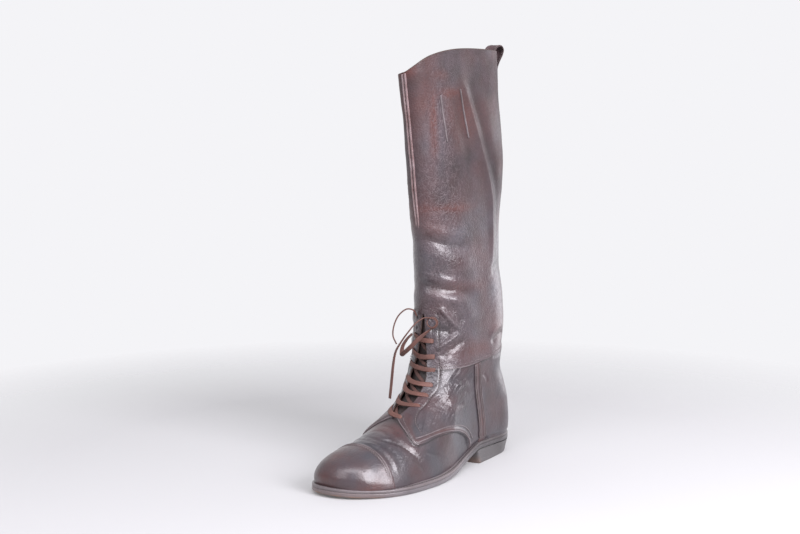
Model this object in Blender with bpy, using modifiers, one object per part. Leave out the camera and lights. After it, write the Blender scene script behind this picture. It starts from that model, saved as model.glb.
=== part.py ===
"""Left officer boot: a tall laced field boot with a cap toe, standing empty on its sole and heel.

The toe points to -Y, the outer (lateral) side to +X and the leg up +Z. Sizes are in metres.
"""

import bmesh
import bpy
import numpy as np

# Driving sizes
SOLE_LENGTH = 0.296
SOLE_THICKNESS = 0.0050
WELT_THICKNESS = 0.0030
INSOLE_THICKNESS = 0.0030
LEATHER = 0.0022
OVERLAY = 0.0013
GAP = 0.0003
FACET_GAP = 0.0010
TOE_TIP, HEEL_TIP = -SOLE_LENGTH / 2, SOLE_LENGTH / 2
TOE_REACH, HEEL_REACH, END_POWER = 0.070, 0.036, 2.2
HEEL_BREAST_Y, HEEL_INSET = 0.060, 0.0004

# Sole plan before its ends are rounded: y, centre x, lateral half-width, medial half-width
SOLE_PLAN = (
    (-0.148, -0.0125, 0.0480, 0.0475),
    (-0.124, -0.0083, 0.0496, 0.0478),
    (-0.099, -0.0037, 0.0516, 0.0487),
    (-0.074, -0.0010, 0.0539, 0.0491),
    (-0.050, 0.0006, 0.0543, 0.0484),
    (-0.025, 0.0020, 0.0516, 0.0438),
    (0.000, 0.0029, 0.0460, 0.0362),
    (0.025, 0.0027, 0.0392, 0.0313),
    (0.050, 0.0019, 0.0345, 0.0296),
    (0.075, 0.0007, 0.0329, 0.0316),
    (0.100, 0.0001, 0.0329, 0.0327),
    (0.148, 0.0000, 0.0329, 0.0329),
)
# Underside of the sole, with its arch and toe spring: y, z
SOLE_BOTTOM = (
    (-0.148, 0.0030),
    (-0.130, 0.0012),
    (-0.105, 0.0000),
    (-0.035, 0.0000),
    (0.000, 0.0022),
    (0.040, 0.0088),
    (0.070, 0.0150),
    (0.148, 0.0150),
)
# How far the heel's bottom edge stands in from its top edge: y, inset
HEEL_TAPER = ((0.060, -0.0030), (0.090, -0.0010), (0.122, 0.0032), (0.148, 0.0040))
# How far the upper stands in from the sole's edge: y, inset
EDGE_INSET = ((-0.148, 0.0062), (-0.030, 0.0060), (0.030, 0.0042), (0.080, 0.0028), (0.148, 0.0022))
# Side view over the toe, instep and shin up to the collar, above the feather edge: y, z
TOE_FEATHER_Y = -0.1405
FRONT_LINE = (
    (-0.1430, 0.0215),
    (-0.1375, 0.0325),
    (-0.1220, 0.0410),
    (-0.1000, 0.0472),
    (-0.0780, 0.0540),
    (-0.0560, 0.0635),
    (-0.0350, 0.0755),
    (-0.0170, 0.0890),
    (-0.0040, 0.1040),
    (0.0030, 0.1240),
    (0.0055, 0.1500),
    (0.0060, 0.1750),
    (0.0040, 0.2160),
    (0.0000, 0.2500),
    (-0.0060, 0.2770),
    (-0.0140, 0.3320),
    (-0.0205, 0.3740),
    (-0.0305, 0.4320),
)
# Side view up the heel and calf to the collar, above the feather edge: y, z
HEEL_FEATHER_Y = 0.1445
BACK_LINE = (
    (0.1472, 0.0340),
    (0.1475, 0.0450),
    (0.1448, 0.0620),
    (0.1385, 0.0820),
    (0.1310, 0.1050),
    (0.1345, 0.1230),
    (0.1405, 0.1450),
    (0.1405, 0.1820),
    (0.1365, 0.2140),
    (0.1375, 0.2640),
    (0.1445, 0.3060),
    (0.1475, 0.3340),
    (0.1455, 0.3600),
    (0.1405, 0.4020),
    (0.1370, 0.4560),
)
# Half-widths up the leg, pressed flat towards its top: z, lateral, medial
LEG_WIDTHS = (
    (0.030, 0.0330, 0.0320),
    (0.070, 0.0345, 0.0335),
    (0.110, 0.0350, 0.0340),
    (0.145, 0.0350, 0.0345),
    (0.182, 0.0340, 0.0335),
    (0.215, 0.0320, 0.0320),
    (0.265, 0.0300, 0.0300),
    (0.306, 0.0290, 0.0290),
    (0.356, 0.0270, 0.0270),
    (0.402, 0.0250, 0.0250),
    (0.470, 0.0230, 0.0230),
)
# Rounding of the sections: z, front reach, front power, back reach, back power
ROUNDING = (
    (0.000, 0.064, 2.2, 0.036, 2.2),
    (0.060, 0.058, 2.1, 0.038, 2.2),
    (0.100, 0.052, 2.0, 0.045, 2.0),
    (0.145, 0.052, 2.0, 0.050, 2.0),
    (0.215, 0.054, 2.0, 0.054, 2.0),
    (0.306, 0.058, 2.0, 0.058, 2.0),
    (0.470, 0.060, 2.0, 0.060, 2.0),
)
# Height span over which the foot's widths turn into the leg's, and the same along y over the instep
LEG_STARTS_Z, LEG_SPAN_Z = 0.035, 0.085
LEG_STARTS_Y, LEG_SPAN_Y = -0.065, 0.060
RIDGE_FADE_Z, RIDGE_FADE_SPAN = 0.105, 0.050
# Seam between upper and leg, and the cut of the collar
SEAM_FRONT_Z, SEAM_BACK_Z, SEAM_DIP = 0.1125, 0.1260, 0.0030
SEAM_BELOW, SEAM_ABOVE = 0.9985, 1.0005
COLLAR_RISE_LATERAL, COLLAR_RISE_MEDIAL, COLLAR_SKEW = 0.0165, -0.0060, 0.55
# Throat opening up the instep: height on the front line, lateral half-gap, medial half-gap
THROAT = (
    (0.0665, 0.0000, 0.0000),
    (0.0690, 0.0050, 0.0065),
    (0.0750, 0.0080, 0.0105),
    (0.0860, 0.0100, 0.0135),
    (0.1000, 0.0100, 0.0135),
    (0.1180, 0.0075, 0.0100),
    (0.1400, 0.0045, 0.0060),
    (0.1600, 0.0025, 0.0030),
    (0.1700, 0.0018, 0.0020),
    (0.1730, 0.0000, 0.0000),
)
TONGUE_LOW_Z, TONGUE_TOP_Z, TONGUE_LAP = 0.0600, 0.1860, 0.0100
TONGUE_THICKNESS = 0.0018

# Places of the overlays, in side view
CAP_RIDGE_Y, CAP_FEATHER_Y, CAP_ARC = -0.1000, -0.0985, 2.0
OVERLAY_FOOT = 0.006
COUNTER_TOP_Z = 0.1130
# Front edge of the heel counter: share of its height, y
COUNTER_EDGE = (
    (0.00, 0.0850),
    (0.25, 0.0790),
    (0.45, 0.0775),
    (0.65, 0.0790),
    (0.85, 0.0840),
    (0.95, 0.0880),
    (1.00, 0.0980),
)
STRAP_TOP_Y, STRAP_FOOT_Y = 0.0570, 0.0735
STRAP_TOP_WIDTH, STRAP_FOOT_WIDTH, STRAP_BEND = 0.0115, 0.0140, 1.0
STRAP_FROM, STRAP_TO = 0.010, 0.985

# Lace: flat leather, in bars over slanting strands, with eyelets at these heights on the front line
LACE_WIDTH, LACE_THICKNESS = 0.0048, 0.0016
EYELET_HEIGHTS = {
    1: (0.0675, 0.0775, 0.0862, 0.0962, 0.1118, 0.1262, 0.1433),
    -1: (0.0725, 0.0800, 0.0935, 0.1022, 0.1170, 0.1305, 0.1480),
}
EYELET_FROM_EDGE = 0.0065
LACE_UNDER_LIFT, LACE_OVER_LIFT = 0.0011, 0.0018
LACE_REACH = 0.45
# Free ends of the lace: hand-placed routes of their middle lines
LACE_LONG_START = (
    (-0.0133, 0.0036, 0.1498),
    (-0.0172, -0.0008, 0.1440),
    (-0.0194, -0.0055, 0.1365),
    (-0.0173, -0.0100, 0.1288),
    (-0.0092, -0.0150, 0.1326),
    (-0.0010, -0.0170, 0.1387),
    (0.0086, -0.0135, 0.1490),
)
LACE_LONG_TAIL = (
    (0.0140, -0.0110, 0.1717),
    (0.0081, -0.0185, 0.1665),
    (0.0014, -0.0220, 0.1576),
    (-0.0097, -0.0225, 0.1435),
    (-0.0178, -0.0205, 0.1325),
    (-0.0221, -0.0190, 0.1186),
    (-0.0243, -0.0185, 0.1039),
    (-0.0259, -0.0185, 0.0904),
    (-0.0269, -0.0190, 0.0800),
)
# Ring between them: middle, first and last radius, first and last turn, how far it winds outwards, and its axes
RING_MIDDLE, RING_RADII, RING_TURNS, RING_ADVANCE = (0.0192, -0.0046, 0.1661), (0.0064, 0.0044), (-0.25, 1.25), 0.0068
RING_RIGHT, RING_UP, RING_OUT = (0.799, 0.602, 0.000), (-0.096, 0.127, 0.987), (0.578, -0.801, 0.159)
LACE_SHORT_ROUTE = (
    (-0.0097, 0.0061, 0.1705),
    (-0.0094, 0.0005, 0.1764),
    (-0.0140, -0.0050, 0.1780),
    (-0.0215, -0.0095, 0.1713),
    (-0.0272, -0.0110, 0.1593),
    (-0.0289, -0.0105, 0.1475),
    (-0.0253, -0.0090, 0.1388),
)
LACE_END_THICKNESS, LACE_END_SPACING = 0.0040, 0.6

# Pull loop at the back of the collar: side-view route, y, z
LOOP_WIDTH, LOOP_THICKNESS = 0.0150, 0.0018
LOOP_ROUTE = (
    (0.1312, 0.4330),
    (0.1316, 0.4480),
    (0.1328, 0.4578),
    (0.1385, 0.4625),
    (0.1460, 0.4625),
    (0.1495, 0.4585),
    (0.1480, 0.4530),
    (0.1430, 0.4455),
    (0.1400, 0.4385),
    (0.1400, 0.4300),
)

# Colours, roughness
LEATHER_DARK = ((0.060, 0.047, 0.047), 0.38)
LEATHER_SHAFT = ((0.085, 0.055, 0.050), 0.36)
LEATHER_TONGUE = ((0.030, 0.024, 0.022), 0.60)
LEATHER_SOLE = ((0.070, 0.056, 0.050), 0.55)
LEATHER_HEEL = ((0.075, 0.068, 0.062), 0.50)
LEATHER_LINING = ((0.170, 0.090, 0.060), 0.75)
LEATHER_LACE = ((0.190, 0.072, 0.045), 0.60)

TINY = 1e-12
COLLECTION = "officer_boot"
CUTTERS = "cutters"


# Curves and tables
def smoothstep(t):
    t = np.clip(t, 0.0, 1.0)
    return t * t * (3.0 - 2.0 * t)


def spline(points, steps=24):
    """A centripetal Catmull-Rom curve through the points, with this many samples a span."""
    p = np.asarray(points, float)
    p = np.vstack([2 * p[0] - p[1], p, 2 * p[-1] - p[-2]])
    runs = []
    for a, b, c, d in zip(p[:-3], p[1:-2], p[2:-1], p[3:]):
        t1 = np.linalg.norm(b - a) ** 0.5
        t2 = t1 + np.linalg.norm(c - b) ** 0.5
        t3 = t2 + np.linalg.norm(d - c) ** 0.5
        t = np.linspace(t1, t2, steps, endpoint=False)[:, None]
        ab = (t1 - t) / t1 * a + t / t1 * b
        bc = (t2 - t) / (t2 - t1) * b + (t - t1) / (t2 - t1) * c
        cd = (t3 - t) / (t3 - t2) * c + (t - t2) / (t3 - t2) * d
        abc = (t2 - t) / t2 * ab + t / t2 * bc
        bcd = (t3 - t) / (t3 - t1) * bc + (t - t1) / (t3 - t1) * cd
        runs.append((t2 - t) / (t2 - t1) * abc + (t - t1) / (t2 - t1) * bcd)
    return np.vstack(runs + [p[-2:-1]])


def share_along(line):
    """Arc length at each point of a line, from 0 to 1."""
    steps = np.linalg.norm(np.diff(line, axis=0), axis=1)
    return np.concatenate([[0.0], np.cumsum(steps)]) / steps.sum()


def on_line(line, share):
    """Points at these shares of a line's length."""
    at = share_along(line)
    return np.stack([np.interp(share, at, column) for column in line.T], -1)


def read(table, at, column):
    """A table's column read by a monotone cubic at values of its first column."""
    rows = np.asarray(table, float)
    x, f = rows[:, 0], rows[:, column]
    h = np.diff(x)
    slope = np.diff(f) / h
    tangent = np.zeros(len(x))
    tangent[0], tangent[-1] = slope[0], slope[-1]
    for k in range(1, len(x) - 1):
        if slope[k - 1] * slope[k] > 0:
            before, after = 2 * h[k] + h[k - 1], h[k] + 2 * h[k - 1]
            tangent[k] = (before + after) / (before / slope[k - 1] + after / slope[k])
    at = np.clip(at, x[0], x[-1])
    i = np.clip(np.searchsorted(x, at, side="right") - 1, 0, len(x) - 2)
    u = (at - x[i]) / h[i]
    return (
        (1 + 2 * u) * (1 - u) ** 2 * f[i]
        + u * (1 - u) ** 2 * h[i] * tangent[i]
        + u * u * (3 - 2 * u) * f[i + 1]
        + u * u * (u - 1) * h[i] * tangent[i + 1]
    )


def rounded(depth, reach, power):
    """0 at an edge and 1 from reach inwards, along a superellipse."""
    t = np.clip(depth / reach, 0.0, 1.0)
    return (1.0 - (1.0 - t) ** power) ** (1.0 / power)


# Form of the last and leg
def sole_half_width(y, side):
    """Half-width of the sole to the lateral (1) or medial (-1) side of its centre."""
    ends = rounded(y - TOE_TIP, TOE_REACH, END_POWER) * rounded(HEEL_TIP - y, HEEL_REACH, END_POWER)
    return read(SOLE_PLAN, y, 2 if side > 0 else 3) * ends


def sole_top(y):
    return read(SOLE_BOTTOM, y, 1) + SOLE_THICKNESS


def welt_top(y):
    return sole_top(y) + GAP + WELT_THICKNESS


def feather_z(y):
    """Height of the upper's lower edge."""
    return welt_top(y) + FACET_GAP


FRONT = spline(((TOE_FEATHER_Y, float(feather_z(TOE_FEATHER_Y))),) + FRONT_LINE)
BACK = spline(((HEEL_FEATHER_Y, float(feather_z(HEEL_FEATHER_Y))),) + BACK_LINE)
RIDGE = FRONT[np.argmin(FRONT[:, 0]):]
RIDGE_Y = np.maximum.accumulate(RIDGE[:, 0])


def split_at(line, z):
    k = np.argmin(np.abs(line[:, 1] - z))
    return line[: k + 1], line[k:]


FRONT_LOW, FRONT_HIGH = split_at(FRONT, SEAM_FRONT_Z)
BACK_LOW, BACK_HIGH = split_at(BACK, SEAM_BACK_Z)


def fullness(y, z):
    """Share of the widest half-width that a section has at a place in side view."""
    below = np.maximum(np.interp(y, RIDGE_Y, RIDGE[:, 1]) - z, TINY)
    behind = np.maximum(y - np.interp(z, FRONT[:, 1], FRONT[:, 0]), TINY)
    foot = 1.0 - smoothstep((z - RIDGE_FADE_Z) / RIDGE_FADE_SPAN)
    from_front = 1.0 / np.sqrt(foot / below**2 + 1.0 / behind**2)
    from_back = np.maximum(np.interp(z, BACK[:, 1], BACK[:, 0]) - y, 0.0)
    front = rounded(from_front, read(ROUNDING, z, 1), read(ROUNDING, z, 2))
    back = rounded(from_back, read(ROUNDING, z, 3), read(ROUNDING, z, 4))
    return front * back


FOOT_Y = np.linspace(TOE_TIP + 0.022, HEEL_TIP - 0.020, 60)
FOOT_WIDEST = {
    side: (sole_half_width(FOOT_Y, side) - read(EDGE_INSET, FOOT_Y, 1)) / fullness(FOOT_Y, feather_z(FOOT_Y))
    for side in (1, -1)
}


def leg_share(y, z):
    """0 in the foot and 1 in the leg."""
    up = smoothstep((z - LEG_STARTS_Z) / LEG_SPAN_Z)
    back = smoothstep((y - LEG_STARTS_Y) / LEG_SPAN_Y)
    return up * back


def half_width(y, z, side):
    leg = leg_share(y, z)
    foot_widest = np.interp(y, FOOT_Y, FOOT_WIDEST[side])
    leg_widest = read(LEG_WIDTHS, z, 1 if side > 0 else 2)
    return ((1 - leg) * foot_widest + leg * leg_widest) * fullness(y, z)


def side_view(v, s, collar_rise):
    """(y, z) at height v (0 sole, 1 ankle seam, 2 collar) and share s from front to back."""
    low, high = np.clip(v, 0, 1), np.clip(v - 1, 0, 1)
    in_foot = (v <= 1)[..., None]
    front = np.where(in_foot, on_line(FRONT_LOW, low), on_line(FRONT_HIGH, high))
    back = np.where(in_foot, on_line(BACK_LOW, low), on_line(BACK_HIGH, high))
    y, z = np.moveaxis(front + (back - front) * s[..., None], -1, 0)
    toe, heel = FRONT_LOW[0], BACK_LOW[0]
    chord_y, chord_z = np.moveaxis(toe + (heel - toe) * s[..., None], -1, 0)
    z = z + (feather_z(chord_y) - chord_z) * (1 - low) ** 2
    z = z - SEAM_DIP * np.sin(np.pi * s) * np.where(v <= 1, low**3, (1 - high) ** 6)
    z = z + collar_rise * np.sin(np.pi * s**COLLAR_SKEW) * high**5
    return y, z


def point(v, theta):
    """Outer surface at height v and turn theta: 0 at the front, positive to the lateral side, pi behind."""
    v, theta = np.broadcast_arrays(np.asarray(v, float), np.asarray(theta, float))
    theta = (theta + np.pi) % (2 * np.pi) - np.pi
    lateral = theta >= 0
    s = (1 - np.cos(theta)) / 2
    y, z = side_view(v, s, np.where(lateral, COLLAR_RISE_LATERAL, COLLAR_RISE_MEDIAL))
    centre = (1 - leg_share(y, z)) * read(SOLE_PLAN, y, 1)
    x = centre + np.where(lateral, half_width(y, z, 1), -half_width(y, z, -1))
    return np.stack([x, y, z], -1)


def skin(v, theta, lift):
    """A place on the form, moved out along its normal by lift."""
    step = 1e-3
    along = point(v, theta + step) - point(v, theta - step)
    up = point(np.minimum(v + step, 2.0), theta) - point(np.maximum(v - step, 0.0), theta)
    normal = np.cross(along, up)
    normal /= np.linalg.norm(normal, axis=-1, keepdims=True)
    return point(v, theta) + normal * lift


def height_at_front(z):
    """The v whose front point has this height."""
    low = np.interp(z, FRONT_LOW[:, 1], share_along(FRONT_LOW))
    high = 1 + np.interp(z, FRONT_HIGH[:, 1], share_along(FRONT_HIGH))
    return np.where(z <= SEAM_FRONT_Z, low, high)


def front_z(v):
    low = on_line(FRONT_LOW, np.clip(v, 0, 1))[..., 1]
    high = on_line(FRONT_HIGH, np.clip(v - 1, 0, 1))[..., 1]
    return np.where(v <= 1, low, high)


def turn_at_half_width(v, half, side):
    """The turn theta at which the surface at height v is this far from its centre."""
    theta = np.linspace(0.0, 0.5 * np.pi, 200)
    out = []
    for row, wanted in zip(np.atleast_1d(v), np.atleast_1d(half)):
        away = np.abs(point(row, side * theta)[..., 0] - point(row, 0.0)[0])
        out.append(np.interp(wanted, np.maximum.accumulate(away), theta))
    return side * np.array(out)


def throat_half_gap(v, side):
    column = 1 if side > 0 else 2
    return np.interp(front_z(v), [row[0] for row in THROAT], [row[column] for row in THROAT])


# Making objects
def new_collection(name):
    collection = bpy.data.collections.new(name)
    bpy.context.scene.collection.children.link(collection)
    return collection


def material_of(name, finish):
    colour, roughness = finish
    material = bpy.data.materials.new(name)
    material.use_nodes = True
    shader = material.node_tree.nodes["Principled BSDF"]
    shader.inputs["Base Color"].default_value = (*colour, 1.0)
    shader.inputs["Roughness"].default_value = roughness
    return material


def add_object(name, data, finish, collection):
    made = bpy.data.objects.new(name, data)
    made.data.materials.append(material_of(name, finish))
    collection.objects.link(made)
    return made


def mesh_of(name, points, faces):
    """A smooth mesh with its doubled points welded and its faces turned outwards."""
    mesh = bpy.data.meshes.new(name)
    mesh.from_pydata([tuple(p) for p in points], [], faces)
    work = bmesh.new()
    work.from_mesh(mesh)
    bmesh.ops.remove_doubles(work, verts=work.verts, dist=1e-6)
    bmesh.ops.recalc_face_normals(work, faces=work.faces)
    quads = [face for face in work.faces if len(face.verts) == 4]
    bmesh.ops.triangulate(work, faces=quads, quad_method="SHORT_EDGE")
    work.to_mesh(mesh)
    work.free()
    mesh.shade_smooth()
    mesh.set_sharp_from_angle(angle=np.radians(40))
    return mesh


def grid_faces(rows, columns):
    return [
        (i * columns + j, i * columns + j + 1, (i + 1) * columns + j + 1, (i + 1) * columns + j)
        for i in range(rows - 1)
        for j in range(columns - 1)
    ]


def ring_faces(count, around, closed_path=False):
    """Faces of a solid through rings of equal count, with flat ends, or joined end to start."""
    faces = []
    for i in range(count if closed_path else count - 1):
        a, b = i * around, (i + 1) % count * around
        faces += [(a + j, a + (j + 1) % around, b + (j + 1) % around, b + j) for j in range(around)]
    if not closed_path:
        faces.append(tuple(range(around)))
        faces.append(tuple(range((count - 1) * around, count * around)))
    return faces


def loft(name, rings, finish, collection, closed_path=False):
    rings = np.asarray(rings)
    faces = ring_faces(*rings.shape[:2], closed_path)
    return add_object(name, mesh_of(name, rings.reshape(-1, 3), faces), finish, collection)


def shell(name, sheets, thickness, finish, collection):
    """A wall grown inwards from one or more grids of points that share edges."""
    points, faces = [], []
    for sheet in sheets:
        rows, columns = sheet.shape[:2]
        first = len(points)
        points += list(sheet.reshape(-1, 3))
        faces += [tuple(first + k for k in face) for face in grid_faces(rows, columns)]
    made = add_object(name, mesh_of(name, points, faces), finish, collection)
    outwards = made.data.polygons[0]
    middle = sum((v.co for v in made.data.vertices), start=outwards.center * 0) / len(points)
    solidify = made.modifiers.new("wall", "SOLIDIFY")
    solidify.thickness = thickness
    solidify.offset = -1.0 if outwards.normal.dot(outwards.center - middle) > 0 else 1.0
    return made


def patch(name, grid_v, grid_theta, inner, outer, finish, collection):
    """A closed overlay between two lifted copies of the same part of the form."""
    rows, columns = grid_v.shape
    under = skin(grid_v, grid_theta, inner).reshape(-1, 3)
    over = skin(grid_v, grid_theta, outer).reshape(-1, 3)
    total = rows * columns
    rim = [j for j in range(columns)]
    rim += [i * columns + columns - 1 for i in range(1, rows)]
    rim += [(rows - 1) * columns + j for j in range(columns - 2, -1, -1)]
    rim += [i * columns for i in range(rows - 2, 0, -1)]
    faces = grid_faces(rows, columns)
    faces += [tuple(total + k for k in reversed(face)) for face in grid_faces(rows, columns)]
    faces += [(a, b, total + b, total + a) for a, b in zip(rim, rim[1:] + rim[:1])]
    return add_object(name, mesh_of(name, np.vstack([under, over]), faces), finish, collection)


# Sole parts
def plate_rings(stations, bottom, top, inset=0.0, bottom_inset=0.0):
    """Four-cornered sections of a plate that follows the sole's plan."""
    centre = read(SOLE_PLAN, stations, 1)
    lateral, medial = sole_half_width(stations, 1) - inset, sole_half_width(stations, -1) - inset
    return np.stack(
        [
            np.stack([centre + lateral - bottom_inset, stations, bottom], -1),
            np.stack([centre + lateral, stations, top], -1),
            np.stack([centre - medial, stations, top], -1),
            np.stack([centre - medial + bottom_inset, stations, bottom], -1),
        ],
        1,
    )


def along_sole(first, last, count):
    """Stations from first to last, closer together towards both ends."""
    return first + (last - first) * (1 - np.cos(np.linspace(0, np.pi, count))) / 2


def make_outsole(collection):
    y = np.union1d(along_sole(TOE_TIP + 1e-4, HEEL_TIP - 1e-4, 44), [SOLE_BOTTOM[2][0], SOLE_BOTTOM[3][0]])
    loft("outsole", plate_rings(y, read(SOLE_BOTTOM, y, 1), sole_top(y)), LEATHER_SOLE, collection)


def make_heel(collection):
    y = HEEL_BREAST_Y + (HEEL_TIP - 1e-4 - HEEL_BREAST_Y) * np.sin(np.linspace(0, np.pi / 2, 16))
    top = read(SOLE_BOTTOM, y, 1) - GAP
    taper = np.minimum(read(HEEL_TAPER, y, 1), sole_half_width(y, -1) / 3)
    rings = plate_rings(y, np.zeros_like(y), top, inset=HEEL_INSET, bottom_inset=taper)
    loft("heel", rings, LEATHER_HEEL, collection)


def outline(inset, count):
    """The sole's outline moved in by a length that may depend on y, as a closed loop of (x, y)."""
    turn = np.linspace(0, 2 * np.pi, count, endpoint=False)
    y = -SOLE_LENGTH / 2 * np.cos(turn)
    widths = np.where(turn <= np.pi, sole_half_width(y, 1), -sole_half_width(y, -1))
    loop = np.stack([read(SOLE_PLAN, y, 1) + widths, y], -1)
    along = np.roll(loop, -1, axis=0) - np.roll(loop, 1, axis=0)
    inwards = np.stack([-along[:, 1], along[:, 0]], -1)
    inwards /= np.linalg.norm(inwards, axis=1, keepdims=True)
    return loop + inwards * np.broadcast_to(inset(y), y.shape)[:, None]


def make_welt(collection):
    count, recess, band = 84, 0.0004, 0.0085
    outer = outline(lambda y: recess, count)
    inner = outline(lambda y: read(EDGE_INSET, y, 1) + band, count)

    def corner(loop, height):
        return np.column_stack([loop, height])

    low_out, low_in = sole_top(outer[:, 1]) + GAP, sole_top(inner[:, 1]) + GAP
    rings = np.stack(
        [
            corner(outer, low_out),
            corner(outer, low_out + WELT_THICKNESS),
            corner(inner, low_in + WELT_THICKNESS),
            corner(inner, low_in),
        ],
        1,
    )
    loft("welt", rings, LEATHER_SOLE, collection, closed_path=True)


def make_insole(collection):
    clearance, stations = LEATHER + 2 * FACET_GAP, 40
    theta = np.linspace(0, np.pi, stations)
    edges = []
    for side in (1, -1):
        edge = point(0.0, side * theta)
        along = np.gradient(edge[:, :2], axis=0)
        inwards = side * np.stack([-along[:, 1], along[:, 0]], -1)
        inwards /= np.linalg.norm(inwards, axis=1, keepdims=True)
        edge[:, :2] += inwards * clearance
        edge[:, 2] = feather_z(edge[:, 1])
        edges.append(edge[1:-1])
    lateral, medial = edges
    raised = np.array([0.0, 0.0, INSOLE_THICKNESS])
    rings = np.stack([lateral, lateral + raised, medial + raised, medial], 1)
    loft("insole", rings, LEATHER_LINING, collection)


# Upper and leg
def half_sheet(rows, side, columns):
    """One side of the wall, from the throat's edge or the front line round to the back line."""
    start = np.abs(turn_at_half_width(rows, throat_half_gap(rows, side), side))
    u = np.linspace(0, 1, columns)
    theta = np.pi * u[None, :] + start[:, None] * (1 - u[None, :]) ** 4
    sheet = point(rows[:, None], side * theta)
    sheet[:, -1, 0] = 0.0
    return sheet


def make_upper(collection):
    throat = float(height_at_front(np.array(THROAT[0][0])))
    rows = np.concatenate([np.linspace(0, throat, 9), np.linspace(throat, SEAM_BELOW, 9)[1:]])
    sheets = [half_sheet(rows, side, 21) for side in (1, -1)]
    shell("upper", sheets, LEATHER, LEATHER_DARK, collection)


def make_shaft(collection):
    throat_top = float(height_at_front(np.array(THROAT[-1][0])))
    rows = np.concatenate([np.linspace(SEAM_ABOVE, throat_top, 6), np.linspace(throat_top, 2.0, 13)[1:]])
    sheets = [half_sheet(rows, side, 17) for side in (1, -1)]
    shell("shaft", sheets, LEATHER, LEATHER_SHAFT, collection)


def make_tongue(collection):
    rows = np.linspace(
        float(height_at_front(np.array(TONGUE_LOW_Z))), float(height_at_front(np.array(TONGUE_TOP_Z))), 15
    )
    lateral, medial = (
        turn_at_half_width(rows, throat_half_gap(rows, side) + TONGUE_LAP, side) for side in (1, -1)
    )
    u = np.linspace(0, 1, 9)
    theta = medial[:, None] + (lateral - medial)[:, None] * u[None, :]
    grid_v = np.broadcast_to(rows[:, None], theta.shape)
    under_wall = LEATHER + FACET_GAP
    patch("tongue", grid_v, theta, -under_wall - TONGUE_THICKNESS, -under_wall, LEATHER_TONGUE, collection)


# Overlays
def turn_at_y(v, y, side):
    """The turn theta at which the surface at height v lies at this y."""
    theta = np.linspace(0.0, np.pi, 400)
    out = []
    for row, wanted in zip(np.atleast_1d(v), np.atleast_1d(y)):
        out.append(np.interp(wanted, point(row, side * theta)[..., 1], theta))
    return side * np.array(out)


def make_toe_cap(collection):
    top = float(np.interp(CAP_RIDGE_Y, FRONT_LOW[:, 0][np.argmin(FRONT_LOW[:, 0]):],
                          share_along(FRONT_LOW)[np.argmin(FRONT_LOW[:, 0]):]))
    rows = np.linspace(OVERLAY_FOOT, top, 10)
    edge_y = CAP_FEATHER_Y + (CAP_RIDGE_Y - CAP_FEATHER_Y) * (rows / top) ** CAP_ARC
    edge_y[-1] += OVERLAY
    lateral, medial = turn_at_y(rows, edge_y, 1), turn_at_y(rows, edge_y, -1)
    u = np.linspace(-1, 1, 25)
    theta = np.where(u[None, :] > 0, lateral[:, None] * u[None, :], -medial[:, None] * u[None, :])
    grid_v = np.broadcast_to(rows[:, None], theta.shape)
    patch("toe_cap", grid_v, theta, FACET_GAP, FACET_GAP + OVERLAY, LEATHER_DARK, collection)


def make_heel_counter(collection):
    top = float(np.interp(COUNTER_TOP_Z, BACK_LOW[:, 1], share_along(BACK_LOW)))
    rows = np.linspace(OVERLAY_FOOT, top, 11)
    lateral = turn_at_y(rows, read(COUNTER_EDGE, rows / top, 1), 1)
    u = np.linspace(0, 1, 25)
    theta = lateral[:, None] + (2 * np.pi - 2 * lateral[:, None]) * u[None, :]
    theta = np.where(theta > np.pi, theta - 2 * np.pi, theta)
    grid_v = np.broadcast_to(rows[:, None], theta.shape)
    patch("heel_counter", grid_v, theta, FACET_GAP, FACET_GAP + OVERLAY, LEATHER_DARK, collection)


def make_side_straps(collection):
    rows = np.linspace(STRAP_FROM, STRAP_TO, 12)
    middle = STRAP_FOOT_Y + (STRAP_TOP_Y - STRAP_FOOT_Y) * smoothstep(rows * STRAP_BEND)
    half = 0.5 * (STRAP_FOOT_WIDTH + (STRAP_TOP_WIDTH - STRAP_FOOT_WIDTH) * rows)
    for side, name in ((1, "side_strap_lateral"), (-1, "side_strap_medial")):
        theta = np.stack([turn_at_y(rows, middle + k * half, side) for k in (-1, 0, 1)], 1)
        grid_v = np.broadcast_to(rows[:, None], theta.shape)
        patch(name, grid_v, theta, FACET_GAP, FACET_GAP + OVERLAY, LEATHER_DARK, collection)


# Lace and loop
def eyelets(side):
    """Heights v and turns theta of the eyelets on one side, from the lowest up."""
    rows = height_at_front(np.array(EYELET_HEIGHTS[side]))
    away = throat_half_gap(rows, side) + EYELET_FROM_EDGE
    return np.stack([rows, turn_at_half_width(rows, away, side)], -1)


def strand_mesh(start, end, lift, name):
    """A flat strand over the instep from one eyelet to another, held off the form by lift."""
    share = np.linspace(0, 1, 5)[:, None]
    v, theta = (np.asarray(start) + (np.asarray(end) - np.asarray(start)) * share).T
    middle = skin(v, theta, lift + LACE_THICKNESS / 2)
    up = skin(v, theta, 1.0) - skin(v, theta, 0.0)
    along = np.gradient(middle, axis=0)
    along /= np.linalg.norm(along, axis=1, keepdims=True)
    middle[0] -= along[0] * LACE_WIDTH * LACE_REACH
    middle[-1] += along[-1] * LACE_WIDTH * LACE_REACH
    across = np.cross(along, up)
    across /= np.linalg.norm(across, axis=1, keepdims=True)
    rings = np.stack(
        [
            middle + across * LACE_WIDTH / 2 * a + up * LACE_THICKNESS / 2 * b
            for a, b in ((-1, -1), (1, -1), (1, 1), (-1, 1))
        ],
        1,
    )
    return mesh_of(name, rings.reshape(-1, 3), ring_faces(*rings.shape[:2]))


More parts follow.
